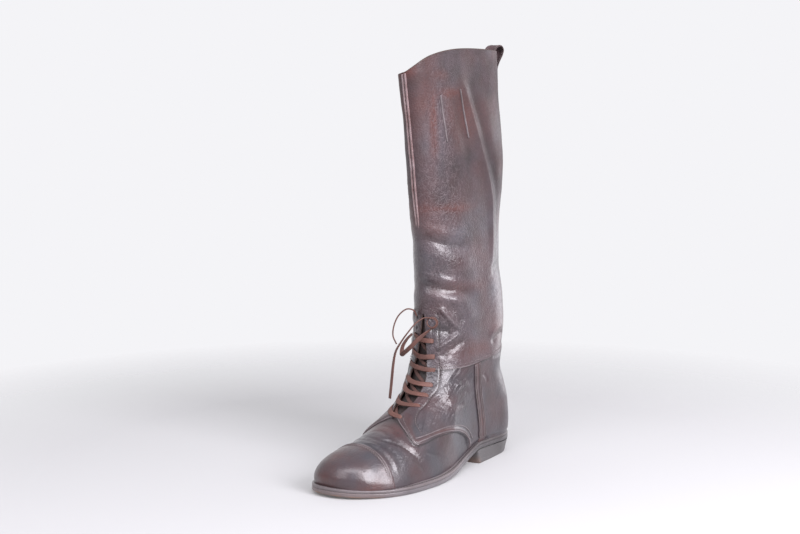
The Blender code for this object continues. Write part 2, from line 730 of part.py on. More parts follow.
def make_lace_bars(collection, cutters):
    lateral, medial = eyelets(1), eyelets(-1)
    strands = [(medial[k], lateral[k], LACE_OVER_LIFT) for k in range(len(lateral))]
    strands += [(lateral[k], medial[k + 1], LACE_UNDER_LIFT) for k in range(len(lateral) - 1)]
    joined = None
    for k, (start, end, lift) in enumerate(strands):
        mesh = strand_mesh(start, end, lift, "lace_strand_%d" % k)
        if joined is None:
            joined = add_object("lace_bars", mesh, LEATHER_LACE, collection)
            continue
        helper = bpy.data.objects.new("lace_strand_%d" % k, mesh)
        helper.hide_render = True
        helper.display_type = "WIRE"
        cutters.objects.link(helper)
        union = joined.modifiers.new("strand_%d" % k, "BOOLEAN")
        union.operation = "UNION"
        union.object = helper


def long_route():
    """The long end's middle line: up from its eyelet, once and a half round a small ring, and down."""
    share = np.linspace(0, 1, 16)[:, None]
    turn = 2 * np.pi * (RING_TURNS[0] + (RING_TURNS[1] - RING_TURNS[0]) * share)
    radius = RING_RADII[0] + (RING_RADII[1] - RING_RADII[0]) * share
    ring = np.array(RING_MIDDLE) + radius * (np.cos(turn) * np.array(RING_RIGHT) + np.sin(turn) * np.array(RING_UP))
    ring += RING_ADVANCE * (share - 0.5) * np.array(RING_OUT)
    return np.vstack([LACE_LONG_START, ring, LACE_LONG_TAIL])


def make_cord(name, route, collection):
    """A round tube through a hand-placed route."""
    fine = spline(route, 16)
    length = np.linalg.norm(np.diff(fine, axis=0), axis=1).sum()
    count = int(round(length / (LACE_END_SPACING * LACE_END_THICKNESS)))
    places = on_line(fine, np.linspace(0, 1, count))
    curve = bpy.data.curves.new(name, "CURVE")
    curve.dimensions = "3D"
    curve.bevel_depth = LACE_END_THICKNESS / 2
    curve.bevel_resolution = 2
    curve.use_fill_caps = True
    run = curve.splines.new("POLY")
    run.points.add(count - 1)
    for target, place in zip(run.points, places):
        target.co = (*place, 1.0)
    add_object(name, curve, LEATHER_LACE, collection)


def make_pull_loop(collection):
    """A strap over the back of the collar, bent across like the wall that it is sewn to."""
    route = on_line(spline(LOOP_ROUTE), np.linspace(0, 1, 24))
    along = np.gradient(route, axis=0)
    along /= np.linalg.norm(along, axis=1, keepdims=True)
    out = np.stack([-along[:, 1], along[:, 0]], -1) * LOOP_THICKNESS / 2
    x = np.linspace(-0.5, 0.5, 5) * LOOP_WIDTH
    widest, reach = LEG_WIDTHS[-1][1], ROUNDING[-1][3]
    bow = reach * (1 - np.sqrt(1 - (x / widest) ** 2))
    corners = [(across, back, 1) for across, back in zip(x, bow)]
    corners += [(across, back, -1) for across, back in zip(x[::-1], bow[::-1])]
    rings = [
        [(across, *(place + face * step - (back, 0))) for across, back, face in corners]
        for place, step in zip(route, out)
    ]
    loft("pull_loop", rings, LEATHER_SHAFT, collection)


def stand_on_origin(collection, cutters, cords):
    """Parents every piece to an empty that puts the middle of the boot's box on the origin."""
    bpy.context.view_layer.update()
    graph = bpy.context.evaluated_depsgraph_get()
    corners = []
    for piece in collection.objects:
        if piece.name not in cords:
            mesh = piece.evaluated_get(graph).to_mesh()
            corners.append(np.array([tuple(v.co) for v in mesh.vertices]))
    everything = np.vstack(corners)
    low, high = everything.min(axis=0), everything.max(axis=0)
    root = bpy.data.objects.new("boot_root", None)
    root.location = (-(low[0] + high[0]) / 2, -(low[1] + high[1]) / 2, -low[2])
    for piece in list(collection.objects) + list(cutters.objects):
        piece.parent = root
    collection.objects.link(root)


def main():
    for old in list(bpy.data.objects):
        bpy.data.objects.remove(old)
    boot, cutters = new_collection(COLLECTION), new_collection(CUTTERS)
    make_outsole(boot)
    make_heel(boot)
    make_welt(boot)
    make_insole(boot)
    make_upper(boot)
    make_shaft(boot)
    make_tongue(boot)
    make_toe_cap(boot)
    make_heel_counter(boot)
    make_side_straps(boot)
    make_lace_bars(boot, cutters)
    make_cord("lace_end_long", long_route(), boot)
    make_cord("lace_end_short", LACE_SHORT_ROUTE, boot)
    make_pull_loop(boot)
    stand_on_origin(boot, cutters, ("lace_end_long", "lace_end_short"))


main()
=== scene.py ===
"""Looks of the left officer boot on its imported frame: leather skins, stitching, lace, sole and a studio.

The toe points to -Y, the outer (lateral) side to +X and the leg up +Z. Sizes are in metres. The form is
worked out again from the sizes that the CAD uses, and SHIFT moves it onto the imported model.
"""

import bmesh
import bpy
import numpy as np
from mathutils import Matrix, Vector, noise


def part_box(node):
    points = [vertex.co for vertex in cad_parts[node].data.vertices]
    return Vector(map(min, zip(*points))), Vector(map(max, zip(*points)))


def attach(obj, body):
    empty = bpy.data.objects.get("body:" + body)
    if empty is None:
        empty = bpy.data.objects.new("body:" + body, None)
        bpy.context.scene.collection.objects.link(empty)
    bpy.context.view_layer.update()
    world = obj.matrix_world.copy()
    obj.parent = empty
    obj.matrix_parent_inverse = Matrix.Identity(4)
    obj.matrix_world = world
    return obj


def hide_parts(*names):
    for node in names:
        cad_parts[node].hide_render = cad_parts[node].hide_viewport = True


# Driving sizes
SOLE_LENGTH = 0.296
SOLE_THICKNESS = 0.0050
WELT_THICKNESS = 0.0030
INSOLE_THICKNESS = 0.0030
LEATHER = 0.0022
# Clearances of the CAD under the welt and under the upper
GAP = 0.0003
FACET_GAP = 0.0010
TOE_TIP, HEEL_TIP = -SOLE_LENGTH / 2, SOLE_LENGTH / 2
# Rounding of the sole's ends, and where the heel starts
TOE_REACH, HEEL_REACH, END_POWER = 0.070, 0.036, 2.2
HEEL_BREAST_Y, HEEL_INSET = 0.060, 0.0004

# Sole plan before its ends are rounded: y, centre x, lateral half-width, medial half-width
SOLE_PLAN = (
    (-0.148, -0.0125, 0.0480, 0.0475),
    (-0.124, -0.0083, 0.0496, 0.0478),
    (-0.099, -0.0037, 0.0516, 0.0487),
    (-0.074, -0.0010, 0.0539, 0.0491),
    (-0.050, 0.0006, 0.0543, 0.0484),
    (-0.025, 0.0020, 0.0516, 0.0438),
    (0.000, 0.0029, 0.0460, 0.0362),
    (0.025, 0.0027, 0.0392, 0.0313),
    (0.050, 0.0019, 0.0345, 0.0296),
    (0.075, 0.0007, 0.0329, 0.0316),
    (0.100, 0.0001, 0.0329, 0.0327),
    (0.148, 0.0000, 0.0329, 0.0329),
)
# Underside of the sole, with its arch and toe spring: y, z
SOLE_BOTTOM = (
    (-0.148, 0.0030),
    (-0.130, 0.0012),
    (-0.105, 0.0000),
    (-0.035, 0.0000),
    (0.000, 0.0022),
    (0.040, 0.0088),
    (0.070, 0.0150),
    (0.148, 0.0150),
)
# How far the heel's bottom edge stands in from its top edge: y, inset
HEEL_TAPER = ((0.060, -0.0030), (0.090, -0.0010), (0.122, 0.0032), (0.148, 0.0040))
# How far the upper stands in from the sole's edge: y, inset
EDGE_INSET = ((-0.148, 0.0062), (-0.030, 0.0060), (0.030, 0.0042), (0.080, 0.0028), (0.148, 0.0022))
# Side view over the toe, instep and shin up to the collar, above the feather edge: y, z
TOE_FEATHER_Y = -0.1405
FRONT_LINE = (
    (-0.1430, 0.0215),
    (-0.1375, 0.0325),
    (-0.1220, 0.0410),
    (-0.1000, 0.0472),
    (-0.0780, 0.0540),
    (-0.0560, 0.0635),
    (-0.0350, 0.0755),
    (-0.0170, 0.0890),
    (-0.0040, 0.1040),
    (0.0030, 0.1240),
    (0.0055, 0.1500),
    (0.0060, 0.1750),
    (0.0040, 0.2160),
    (0.0000, 0.2500),
    (-0.0060, 0.2770),
    (-0.0140, 0.3320),
    (-0.0205, 0.3740),
    (-0.0305, 0.4320),
)
# Side view up the heel and calf to the collar, above the feather edge: y, z
HEEL_FEATHER_Y = 0.1445
BACK_LINE = (
    (0.1472, 0.0340),
    (0.1475, 0.0450),
    (0.1448, 0.0620),
    (0.1385, 0.0820),
    (0.1310, 0.1050),
    (0.1345, 0.1230),
    (0.1405, 0.1450),
    (0.1405, 0.1820),
    (0.1365, 0.2140),
    (0.1375, 0.2640),
    (0.1445, 0.3060),
    (0.1475, 0.3340),
    (0.1455, 0.3600),
    (0.1405, 0.4020),
    (0.1370, 0.4560),
)
# Half-widths up the leg, pressed flat towards its top: z, lateral, medial
LEG_WIDTHS = (
    (0.030, 0.0330, 0.0320),
    (0.070, 0.0345, 0.0335),
    (0.110, 0.0350, 0.0340),
    (0.145, 0.0350, 0.0345),
    (0.182, 0.0340, 0.0335),
    (0.215, 0.0320, 0.0320),
    (0.265, 0.0300, 0.0300),
    (0.306, 0.0290, 0.0290),
    (0.356, 0.0270, 0.0270),
    (0.402, 0.0250, 0.0250),
    (0.470, 0.0230, 0.0230),
)
# Rounding of the sections: z, front reach, front power, back reach, back power
ROUNDING = (
    (0.000, 0.064, 2.2, 0.036, 2.2),
    (0.060, 0.058, 2.1, 0.038, 2.2),
    (0.100, 0.052, 2.0, 0.045, 2.0),
    (0.145, 0.052, 2.0, 0.050, 2.0),
    (0.215, 0.054, 2.0, 0.054, 2.0),
    (0.306, 0.058, 2.0, 0.058, 2.0),
    (0.470, 0.060, 2.0, 0.060, 2.0),
)
# Height span over which the foot's widths turn into the leg's, and the same along y over the instep
LEG_STARTS_Z, LEG_SPAN_Z = 0.035, 0.085
LEG_STARTS_Y, LEG_SPAN_Y = -0.065, 0.060
# Heights over which the sections stop following the instep's ridge
RIDGE_FADE_Z, RIDGE_FADE_SPAN = 0.105, 0.050
# Seam between upper and leg, and the cut of the collar
SEAM_FRONT_Z, SEAM_BACK_Z, SEAM_DIP = 0.1125, 0.1260, 0.0030
COLLAR_RISE_LATERAL, COLLAR_RISE_MEDIAL, COLLAR_SKEW = 0.0165, -0.0060, 0.55
# Throat opening up the instep: height on the front line, lateral half-gap, medial half-gap
THROAT = (
    (0.0665, 0.0000, 0.0000),
    (0.0690, 0.0050, 0.0065),
    (0.0750, 0.0080, 0.0105),
    (0.0860, 0.0100, 0.0135),
    (0.1000, 0.0100, 0.0135),
    (0.1180, 0.0075, 0.0100),
    (0.1400, 0.0045, 0.0060),
    (0.1600, 0.0025, 0.0030),
    (0.1700, 0.0018, 0.0020),
    (0.1730, 0.0000, 0.0000),
)
TONGUE_LOW_Z, TONGUE_TOP_Z, TONGUE_LAP = 0.0600, 0.1860, 0.0100
TONGUE_THICKNESS = 0.0018

# Places of the overlays, in side view
CAP_RIDGE_Y, CAP_FEATHER_Y, CAP_ARC = -0.1000, -0.0985, 2.0
COUNTER_TOP_Z = 0.1130
# Front edge of the heel counter: share of its height, y
COUNTER_EDGE = (
    (0.00, 0.0850),
    (0.25, 0.0790),
    (0.45, 0.0775),
    (0.65, 0.0790),
    (0.85, 0.0840),
    (0.95, 0.0880),
    (1.00, 0.0980),
)
# Side straps: y of their middle line, widths, and how they bend
STRAP_TOP_Y, STRAP_FOOT_Y = 0.0570, 0.0735
STRAP_TOP_WIDTH, STRAP_FOOT_WIDTH, STRAP_BEND = 0.0115, 0.0140, 1.0

# Lace: flat leather, in bars over slanting strands, with eyelets at these heights on the front line
LACE_WIDTH, LACE_THICKNESS = 0.0048, 0.0016
EYELET_HEIGHTS = {
    1: (0.0675, 0.0775, 0.0862, 0.0962, 0.1118, 0.1262, 0.1433),
    -1: (0.0725, 0.0800, 0.0935, 0.1022, 0.1170, 0.1305, 0.1480),
}
EYELET_FROM_EDGE = 0.0065
# Free ends of the lace: routes of their middle lines
LACE_LONG_START = (
    (-0.0133, 0.0036, 0.1498),
    (-0.0172, -0.0008, 0.1440),
    (-0.0194, -0.0055, 0.1365),
    (-0.0173, -0.0100, 0.1288),
    (-0.0092, -0.0150, 0.1326),
    (-0.0010, -0.0170, 0.1387),
    (0.0086, -0.0135, 0.1490),
)
LACE_LONG_TAIL = (
    (0.0140, -0.0110, 0.1717),
    (0.0081, -0.0185, 0.1665),
    (0.0014, -0.0220, 0.1576),
    (-0.0097, -0.0225, 0.1435),
    (-0.0178, -0.0205, 0.1325),
    (-0.0221, -0.0190, 0.1186),
    (-0.0243, -0.0185, 0.1039),
    (-0.0259, -0.0185, 0.0904),
    (-0.0269, -0.0190, 0.0800),
)
# Ring between them: middle, points, first and last radius and turn, how far it winds outwards, and its axes
RING_MIDDLE, RING_POINTS = (0.0192, -0.0046, 0.1661), 16
RING_RADII, RING_TURNS, RING_ADVANCE = (0.0064, 0.0044), (-0.25, 1.25), 0.0068
RING_RIGHT, RING_UP, RING_OUT = (0.799, 0.602, 0.000), (-0.096, 0.127, 0.987), (0.578, -0.801, 0.159)
LACE_SHORT_ROUTE = (
    (-0.0097, 0.0061, 0.1705),
    (-0.0094, 0.0005, 0.1764),
    (-0.0140, -0.0050, 0.1780),
    (-0.0215, -0.0095, 0.1713),
    (-0.0272, -0.0110, 0.1593),
    (-0.0289, -0.0105, 0.1475),
    (-0.0253, -0.0090, 0.1388),
)

# Pull loop at the back of the collar: side-view route, y, z
LOOP_WIDTH, LOOP_THICKNESS = 0.0150, 0.0018
LOOP_ROUTE = (
    (0.1312, 0.4330),
    (0.1316, 0.4480),
    (0.1328, 0.4578),
    (0.1385, 0.4625),
    (0.1460, 0.4625),
    (0.1495, 0.4585),
    (0.1480, 0.4530),
    (0.1430, 0.4455),
    (0.1400, 0.4385),
    (0.1400, 0.4300),
)

TINY = 1e-12

# Camera as fitted to the photo: heading from +Y towards -X, focal length and horizon in pixels, and its place
PHOTO_WIDTH, PHOTO_HEIGHT = 800, 534
CAMERA_HEADING, CAMERA_FOCAL_PX, CAMERA_HORIZON_PX = 37.0, 1506.0, 81.6
CAMERA_DISTANCE, CAMERA_HEIGHT, CAMERA_OFFSET = 1.612, 0.4229, -0.0218
SENSOR_WIDTH = 36.0

# Rows of the skins, and the spacing of their columns near the front and elsewhere
UPPER_ROWS, SHAFT_ROWS = 200, 250
FINE_SPACING, PLAIN_SPACING, FINE_REACH = 0.0006, 0.0014, 0.012
# Laps of leg and quarter, the puffed band inside the quarter's edge, and the toe's flare above the welt
LAP_LIFT, LAP_FADE = 0.0013, 0.012
QUARTER_LIFT, QUARTER_EDGE_WIDTH = 0.0017, 0.0008
BAND_PUFF, BAND_MIDDLE, BAND_REACH = 0.0008, 0.0034, 0.0020
TOE_FLARE, FLARE_HEIGHT, FLARE_FROM_Y, FLARE_SPAN = 0.0022, 0.0150, -0.0700, 0.0400
# Two narrow cords under the leather down the front of the leg: half-width from the middle line, side
PIPING = ((0.0020, -1), (0.0014, 1))
PIPING_LOW_Z, PIPING_WIDTH, PIPING_HEIGHT, PIPING_SINK = 0.2530, 0.0022, 0.0026, 0.0016
# Front and lower edge of the quarter where it laps over the vamp, in side view: y, z
QUARTER_EDGE = (
    (-0.0440, 0.0712),
    (-0.0490, 0.0668),
    (-0.0536, 0.0624),
    (-0.0570, 0.0565),
    (-0.0590, 0.0505),
    (-0.0592, 0.0450),
    (-0.0545, 0.0436),
    (-0.0300, 0.0481),
    (-0.0088, 0.0491),
    (0.0100, 0.0463),
    (0.0288, 0.0392),
    (0.0400, 0.0306),
    (0.0420, 0.0235),
)
# Corners that close the quarter's outline behind and above
QUARTER_REST = ((0.0430, -0.0200), (0.2000, -0.0200), (0.2000, 0.3000), (-0.0440, 0.3000))

# Creases of the foot: where, half-width, height, line in side view from the ridge outwards
FOOT_CREASES = (
    ("cross", 0.0018, -0.0010, ((-0.0965, 0.0483), (-0.0958, 0.0440), (-0.0950, 0.0330), (-0.0945, 0.0200))),
    ("cross", 0.0022, 0.0012, ((-0.0935, 0.0492), (-0.0925, 0.0445), (-0.0915, 0.0330), (-0.0912, 0.0190))),
    ("cross", 0.0024, -0.0009, ((-0.0900, 0.0503), (-0.0874, 0.0468), (-0.0855, 0.0369), (-0.0860, 0.0244))),
    ("cross", 0.0024, -0.0013, ((-0.0850, 0.0520), (-0.0831, 0.0511), (-0.0751, 0.0480), (-0.0661, 0.0382),
                                (-0.0582, 0.0280), (-0.0538, 0.0193))),
    ("cross", 0.0045, 0.0005, ((-0.0770, 0.0545), (-0.0690, 0.0505), (-0.0600, 0.0405), (-0.0500, 0.0290))),
    ("cross", 0.0022, -0.0009, ((-0.0705, 0.0570), (-0.0734, 0.0540), (-0.0690, 0.0470), (-0.0640, 0.0420))),
    ("cross", 0.0020, -0.0006, ((-0.0620, 0.0608), (-0.0640, 0.0570), (-0.0632, 0.0520))),
    ("both", 0.0022, -0.0009, ((-0.0700, 0.0330), (-0.0610, 0.0255), (-0.0540, 0.0165))),
    ("both", 0.0020, -0.0007, ((-0.0500, 0.0380), (-0.0400, 0.0330), (-0.0280, 0.0310))),
    ("both", 0.0030, -0.0012, ((0.0150, 0.1040), (0.0260, 0.1000), (0.0390, 0.1010), (0.0480, 0.1060))),
    ("both", 0.0026, 0.0008, ((0.0180, 0.0975), (0.0300, 0.0930), (0.0420, 0.0945))),
    ("both", 0.0030, -0.0010, ((0.0020, 0.0830), (0.0140, 0.0850), (0.0300, 0.0880), (0.0450, 0.0860))),
    ("both", 0.0024, -0.0008, ((0.0000, 0.0700), (0.0150, 0.0740), (0.0330, 0.0740))),
    ("both", 0.0026, -0.0009, ((0.0860, 0.1175), (0.1000, 0.1190), (0.1160, 0.1200))),
    ("both", 0.0024, -0.0008, ((0.0690, 0.1020), (0.0760, 0.0960), (0.0800, 0.0900))),
)
# Creases of the leg, in the same form
LEG_CREASES = (
    ("lateral", 0.0030, 0.0028, ((0.0110, 0.1815), (0.0150, 0.1760), (0.0232, 0.1640), (0.0325, 0.1530))),
    ("lateral", 0.0026, 0.0030, ((0.0335, 0.1528), (0.0227, 0.1460), (0.0129, 0.1382), (0.0080, 0.1330))),
    ("lateral", 0.0048, -0.0012, ((0.0200, 0.1840), (0.0300, 0.1720), (0.0400, 0.1620))),
    ("lateral", 0.0055, -0.0028, ((0.0070, 0.1580), (0.0100, 0.1560), (0.0170, 0.1545), (0.0240, 0.1545))),
    ("lateral", 0.0038, -0.0016, ((0.0420, 0.1450), (0.0290, 0.1390), (0.0170, 0.1300), (0.0100, 0.1240))),
    ("lateral", 0.0085, 0.0017, ((0.0210, 0.1960), (0.0320, 0.1850), (0.0430, 0.1730), (0.0500, 0.1610))),
    ("medial", 0.0032, 0.0015, ((0.0100, 0.1760), (0.0210, 0.1640), (0.0340, 0.1560))),
    ("medial", 0.0032, 0.0014, ((0.0340, 0.1500), (0.0210, 0.1420), (0.0110, 0.1350))),
    ("medial", 0.0042, -0.0016, ((0.0160, 0.1830), (0.0300, 0.1700), (0.0480, 0.1600))),
    ("cross", 0.0065, -0.0019, ((0.0045, 0.2055), (0.0130, 0.2018), (0.0199, 0.1991), (0.0340, 0.1968),
                                (0.0528, 0.1952), (0.0700, 0.1965))),
    ("cross", 0.0050, 0.0018, ((0.0042, 0.2140), (0.0136, 0.2103), (0.0270, 0.2070), (0.0407, 0.2052))),
    ("cross", 0.0060, 0.0018, ((0.0055, 0.1930), (0.0180, 0.1895), (0.0360, 0.1860), (0.0560, 0.1850))),
    ("cross", 0.0042, -0.0017, ((0.0000, 0.2560), (0.0140, 0.2495), (0.0316, 0.2463), (0.0520, 0.2470))),
    ("cross", 0.0050, 0.0014, ((-0.0020, 0.2680), (0.0110, 0.2620), (0.0330, 0.2580), (0.0520, 0.2600))),
    ("cross", 0.0110, 0.0022, ((0.0020, 0.2360), (0.0160, 0.2320), (0.0380, 0.2290), (0.0600, 0.2310))),
    ("lateral", 0.0056, 0.0025, ((0.0340, 0.4380), (0.0368, 0.4299), (0.0476, 0.4128), (0.0614, 0.3814),
                                 (0.0804, 0.3340), (0.0932, 0.2946), (0.0944, 0.2365), (0.0930, 0.2050))),
    ("lateral", 0.0085, -0.0019, ((0.0520, 0.4400), (0.0620, 0.4150), (0.0760, 0.3840), (0.0950, 0.3380),
                                  (0.1080, 0.2960), (0.1100, 0.2400), (0.1080, 0.2000))),
    ("lateral", 0.0090, -0.0012, ((0.0180, 0.4250), (0.0310, 0.3950), (0.0450, 0.3600), (0.0620, 0.3150))),
    ("medial", 0.0090, 0.0018, ((0.0420, 0.4200), (0.0560, 0.3800), (0.0740, 0.3300), (0.0840, 0.2700))),
    ("medial", 0.0090, -0.0020, ((0.0600, 0.4200), (0.0740, 0.3800), (0.0900, 0.3300), (0.1000, 0.2700))),
    ("both", 0.0040, -0.0014, ((0.0850, 0.1330), (0.1000, 0.1390), (0.1200, 0.1420))),
    ("both", 0.0036, 0.0010, ((0.0800, 0.1410), (0.0980, 0.1480), (0.1200, 0.1510))),
    ("both", 0.0060, -0.0014, ((0.0900, 0.2130), (0.1080, 0.2170), (0.1280, 0.2160))),
)
# Fine crinkles: skin, middle y and z, reach along and across, height, streaks a metre along and across, slope
CRINKLES = (
    ("upper", 0.0180, 0.0960, 0.032, 0.020, 0.0003, 38.0, 210.0, 38.0),
    ("upper", -0.0120, 0.0760, 0.028, 0.010, 0.0003, 45.0, 210.0, -40.0),
    ("upper", 0.0030, 0.0980, 0.010, 0.022, 0.0003, 90.0, 210.0, 20.0),
    ("upper", -0.0380, 0.0600, 0.014, 0.012, 0.0005, 60.0, 210.0, 35.0),
    ("upper", -0.0800, 0.0430, 0.022, 0.016, 0.0003, 60.0, 210.0, -50.0),
    ("shaft", 0.0160, 0.1380, 0.030, 0.018, 0.0004, 45.0, 200.0, -10.0),
    ("shaft", 0.0090, 0.3800, 0.050, 0.016, 0.0004, 25.0, 210.0, -75.0),
    ("shaft", 0.0260, 0.3200, 0.030, 0.020, 0.0004, 40.0, 210.0, 22.0),
    ("shaft", 0.0280, 0.2760, 0.034, 0.018, 0.0004, 40.0, 210.0, -35.0),
    ("shaft", 0.0280, 0.2250, 0.040, 0.020, 0.0003, 40.0, 210.0, -45.0),
    ("shaft", 0.0900, 0.2000, 0.040, 0.050, 0.0003, 40.0, 200.0, 20.0),
)
# Finely wrinkled areas, for the grain: skin, middle y and z, reach in y and z, amount
WRINKLED = (
    ("upper", 0.0180, 0.0900, 0.035, 0.025, 1.0),
    ("upper", -0.0300, 0.0650, 0.022, 0.014, 0.8),
    ("upper", -0.0780, 0.0430, 0.022, 0.016, 0.5),
    ("shaft", 0.0090, 0.3750, 0.020, 0.060, 1.0),
    ("shaft", 0.0250, 0.2900, 0.040, 0.040, 0.7),
    ("shaft", 0.0250, 0.2250, 0.040, 0.035, 0.6),
    ("shaft", 0.0200, 0.1500, 0.030, 0.045, 0.9),
)
# Net of fine wrinkles: how strongly it shows everywhere and at most on each skin, and its painted glints,
# light hair-fine lines standing in for highlights on the wrinkles' edges
NET_LEAST = 0.05
NET_MOST = {"upper": 0.25, "shaft": 0.75}
GLINT_SHARE = 0.07
GLINT_COLOUR = (0.165, 0.130, 0.138)
# Reddish areas: skin, middle y and z, reach in y and z, amount
RED_AREAS = (
    ("upper", -0.0640, 0.0580, 0.010, 0.008, 0.35),
    ("upper", -0.0640, 0.0430, 0.012, 0.008, 0.3),
    ("shaft", 0.0220, 0.4110, 0.014, 0.005, 0.9),
    ("shaft", 0.0080, 0.4300, 0.011, 0.006, 0.6),
    ("shaft", -0.0030, 0.3850, 0.004, 0.026, 0.7),
    ("shaft", 0.0200, 0.3900, 0.030, 0.030, 0.25),
    ("shaft", 0.0250, 0.2880, 0.035, 0.005, 0.6),
    ("shaft", 0.0060, 0.2700, 0.014, 0.018, 0.4),
    ("shaft", 0.0420, 0.2000, 0.030, 0.008, 0.5),
    ("shaft", 0.0600, 0.1300, 0.030, 0.010, 0.5),
    ("shaft", 0.1050, 0.1550, 0.025, 0.018, 0.5),
    ("shaft", -0.0140, 0.4100, 0.012, 0.030, 0.5),
    ("shaft", -0.0300, 0.4370, 0.006, 0.010, 0.9),
    ("shaft", 0.0000, 0.3600, 0.006, 0.025, 0.7),
    ("shaft", 0.0600, 0.3800, 0.030, 0.030, 0.4),
)

# Stitches: size and pitch, then their rows in side view, y and z
STITCH_LENGTH, STITCH_WIDTH, STITCH_HEIGHT = 0.0021, 0.00075, 0.00077
STITCH_PITCH = 0.0027
QUARTER_ROWS = (
    ((-0.0550, 0.0496), (-0.0400, 0.0516), (-0.0255, 0.0537), (-0.0069, 0.0553), (0.0087, 0.0539),
     (0.0276, 0.0494), (0.0437, 0.0399), (0.0510, 0.0309)),
    ((-0.0566, 0.0456), (-0.0440, 0.0478), (-0.0300, 0.0500), (-0.0088, 0.0510), (0.0107, 0.0482),
     (0.0301, 0.0408), (0.0423, 0.0317), (0.0442, 0.0262)),
)
QUARTER_FRONT_ROW = ((-0.0445, 0.0690), (-0.0522, 0.0612), (-0.0550, 0.0560), (-0.0569, 0.0505),
                     (-0.0566, 0.0456))
FACING_ROW = ((0.0112, 0.1242), (0.0085, 0.1110), (0.0014, 0.0943), (-0.0088, 0.0859), (-0.0181, 0.0791),
              (-0.0311, 0.0721), (-0.0396, 0.0658), (-0.0438, 0.0602), (-0.0449, 0.0533))
FACING_ROW_HIGH = ((0.0070, 0.1790), (0.0099, 0.1753), (0.0121, 0.1677), (0.0115, 0.1481),
                   (0.0112, 0.1242))
# Grooves under the stitching of the facing: where, half-width, share, line in side view
FACING_GROOVES = (
    ("both", 0.0011, 1.0, FACING_ROW),
    ("both", 0.0011, 1.0, FACING_ROW_HIGH),
)
GROOVE_INTO_SKIN = 0.0006
# Raised lines: size, and places across a side strap from -1 to 1
BEAD_WIDTH, BEAD_HEIGHT = 0.0012, 0.0011
STRAP_BEADS = (-0.93, -0.45, 0.45, 0.93)
# Edges of the inner pull strap, pressed through the leg: y, z
STRAP_MARKS = (
    ((0.0055, 0.4085), (0.0078, 0.3950), (0.0150, 0.3590)),
    ((0.0380, 0.4150), (0.0420, 0.4000), (0.0521, 0.3625)),
)
MARK_WIDTH, MARK_HEIGHT = 0.0020, 0.0022
# Rows along the toe cap: distance in front of its edge
CAP_ROWS = (0.0012, 0.0036)

# Sections of the sole's and the welt's edges: inset, height
SOLE_PROFILE = (
    (0.0160, 0.0000), (0.0026, 0.0000), (0.0012, 0.0002), (0.0005, 0.0007), (0.0001, 0.0015),
    (0.0000, 0.0026), (0.0000, 0.0038), (0.0001, 0.0045), (0.0004, 0.0049), (0.0010, 0.0050),
    (0.0120, 0.0050),
)
WELT_PROFILE = (
    (0.0060, 0.0050), (0.0008, 0.0050), (0.0003, 0.0052), (0.0001, 0.0057), (0.0000, 0.0064),
    (0.0000, 0.0072), (0.0002, 0.0078), (0.0007, 0.0082), (0.0016, 0.0083),
)
# Groove round the heel, and its corners and lower edge
HEEL_GROOVE_Z, GROOVE_DEPTH, GROOVE_WIDTH = 0.0046, 0.0002, 0.0005
HEEL_CORNER, HEEL_EDGE = 0.0045, 0.0008
# Eyelets, and the heights of those above the lacing
EYELET_RADIUS, EYELET_DEPTH = 0.0017, 0.0013
UNLACED_HEIGHTS = (0.1560, 0.1675)
# Lift of the strands under the bars, and reach of the bars past the medial and lateral eyelets
SLANT_LIFT, BAR_REACH = -0.0018, (1.25, 1.10)
# Depths to which hidden edges are sunk, where the welt's stitches end, and lean and dullness of the pull loop
TUCK, TUCKED_EDGE, WELT_STITCH_END = 0.0012, 0.0005, 0.060
LOOP_LEAN, LOOP_DULL = 0.0035, 1.0

# Sampling: samples a span of a curve, spacing of points along lines, and counts
SPLINE_STEPS, FORM_STEPS, CREASE_STEPS, ROUTE_STEPS = 24, 160, 40, 16
LINE_SPACING, EDGE_SPACING, CAP_SPACING, LACE_SPACING = 0.001, 0.003, 0.0006, 0.0011
FOOT_SAMPLES, OUTLINE_SAMPLES, SEAM_SAMPLES, RING_SAMPLES = 800, 2000, 200, 3000
NORMAL_STEP, FOOT_FROM_TOE, FOOT_FROM_HEEL = 3e-4, 0.022, 0.020
# How fast the sole's curve, the seam's dip below and above it, and the collar's rise fade with height
SOLE_POWER, DIP_POWERS, COLLAR_POWER = 2, (3, 6), 5
# Turns tried when a place is looked up: from the front to the side, and from the front to the back
TO_SIDE, TO_BACK = np.linspace(0.0, np.pi / 2, 200), np.linspace(0.0, np.pi, 400)

# Creases: reach in half-widths, share of a line over which its ends fade, and calm towards the medial side
CREASE_REACH, CREASE_FADE = 3, 0.2
MEDIAL_CALM, CALM_FROM_X, CALM_SPAN = 0.80, 0.012, 0.020
CREASES = {"upper": FOOT_CREASES, "shaft": LEG_CREASES}
# Noise: place of each seed, fading and frequency of its octaves
NOISE_STEP, OCTAVE_FADE, OCTAVE_RATIO = (7.31, 3.17, 5.71), 1.0, 2.0
# Crinkles: first seed, the share below which one is left out, and sharpness
CRINKLE_SEED, CRINKLE_LEAST, CRINKLE_POWER = 11, 0.02, 3
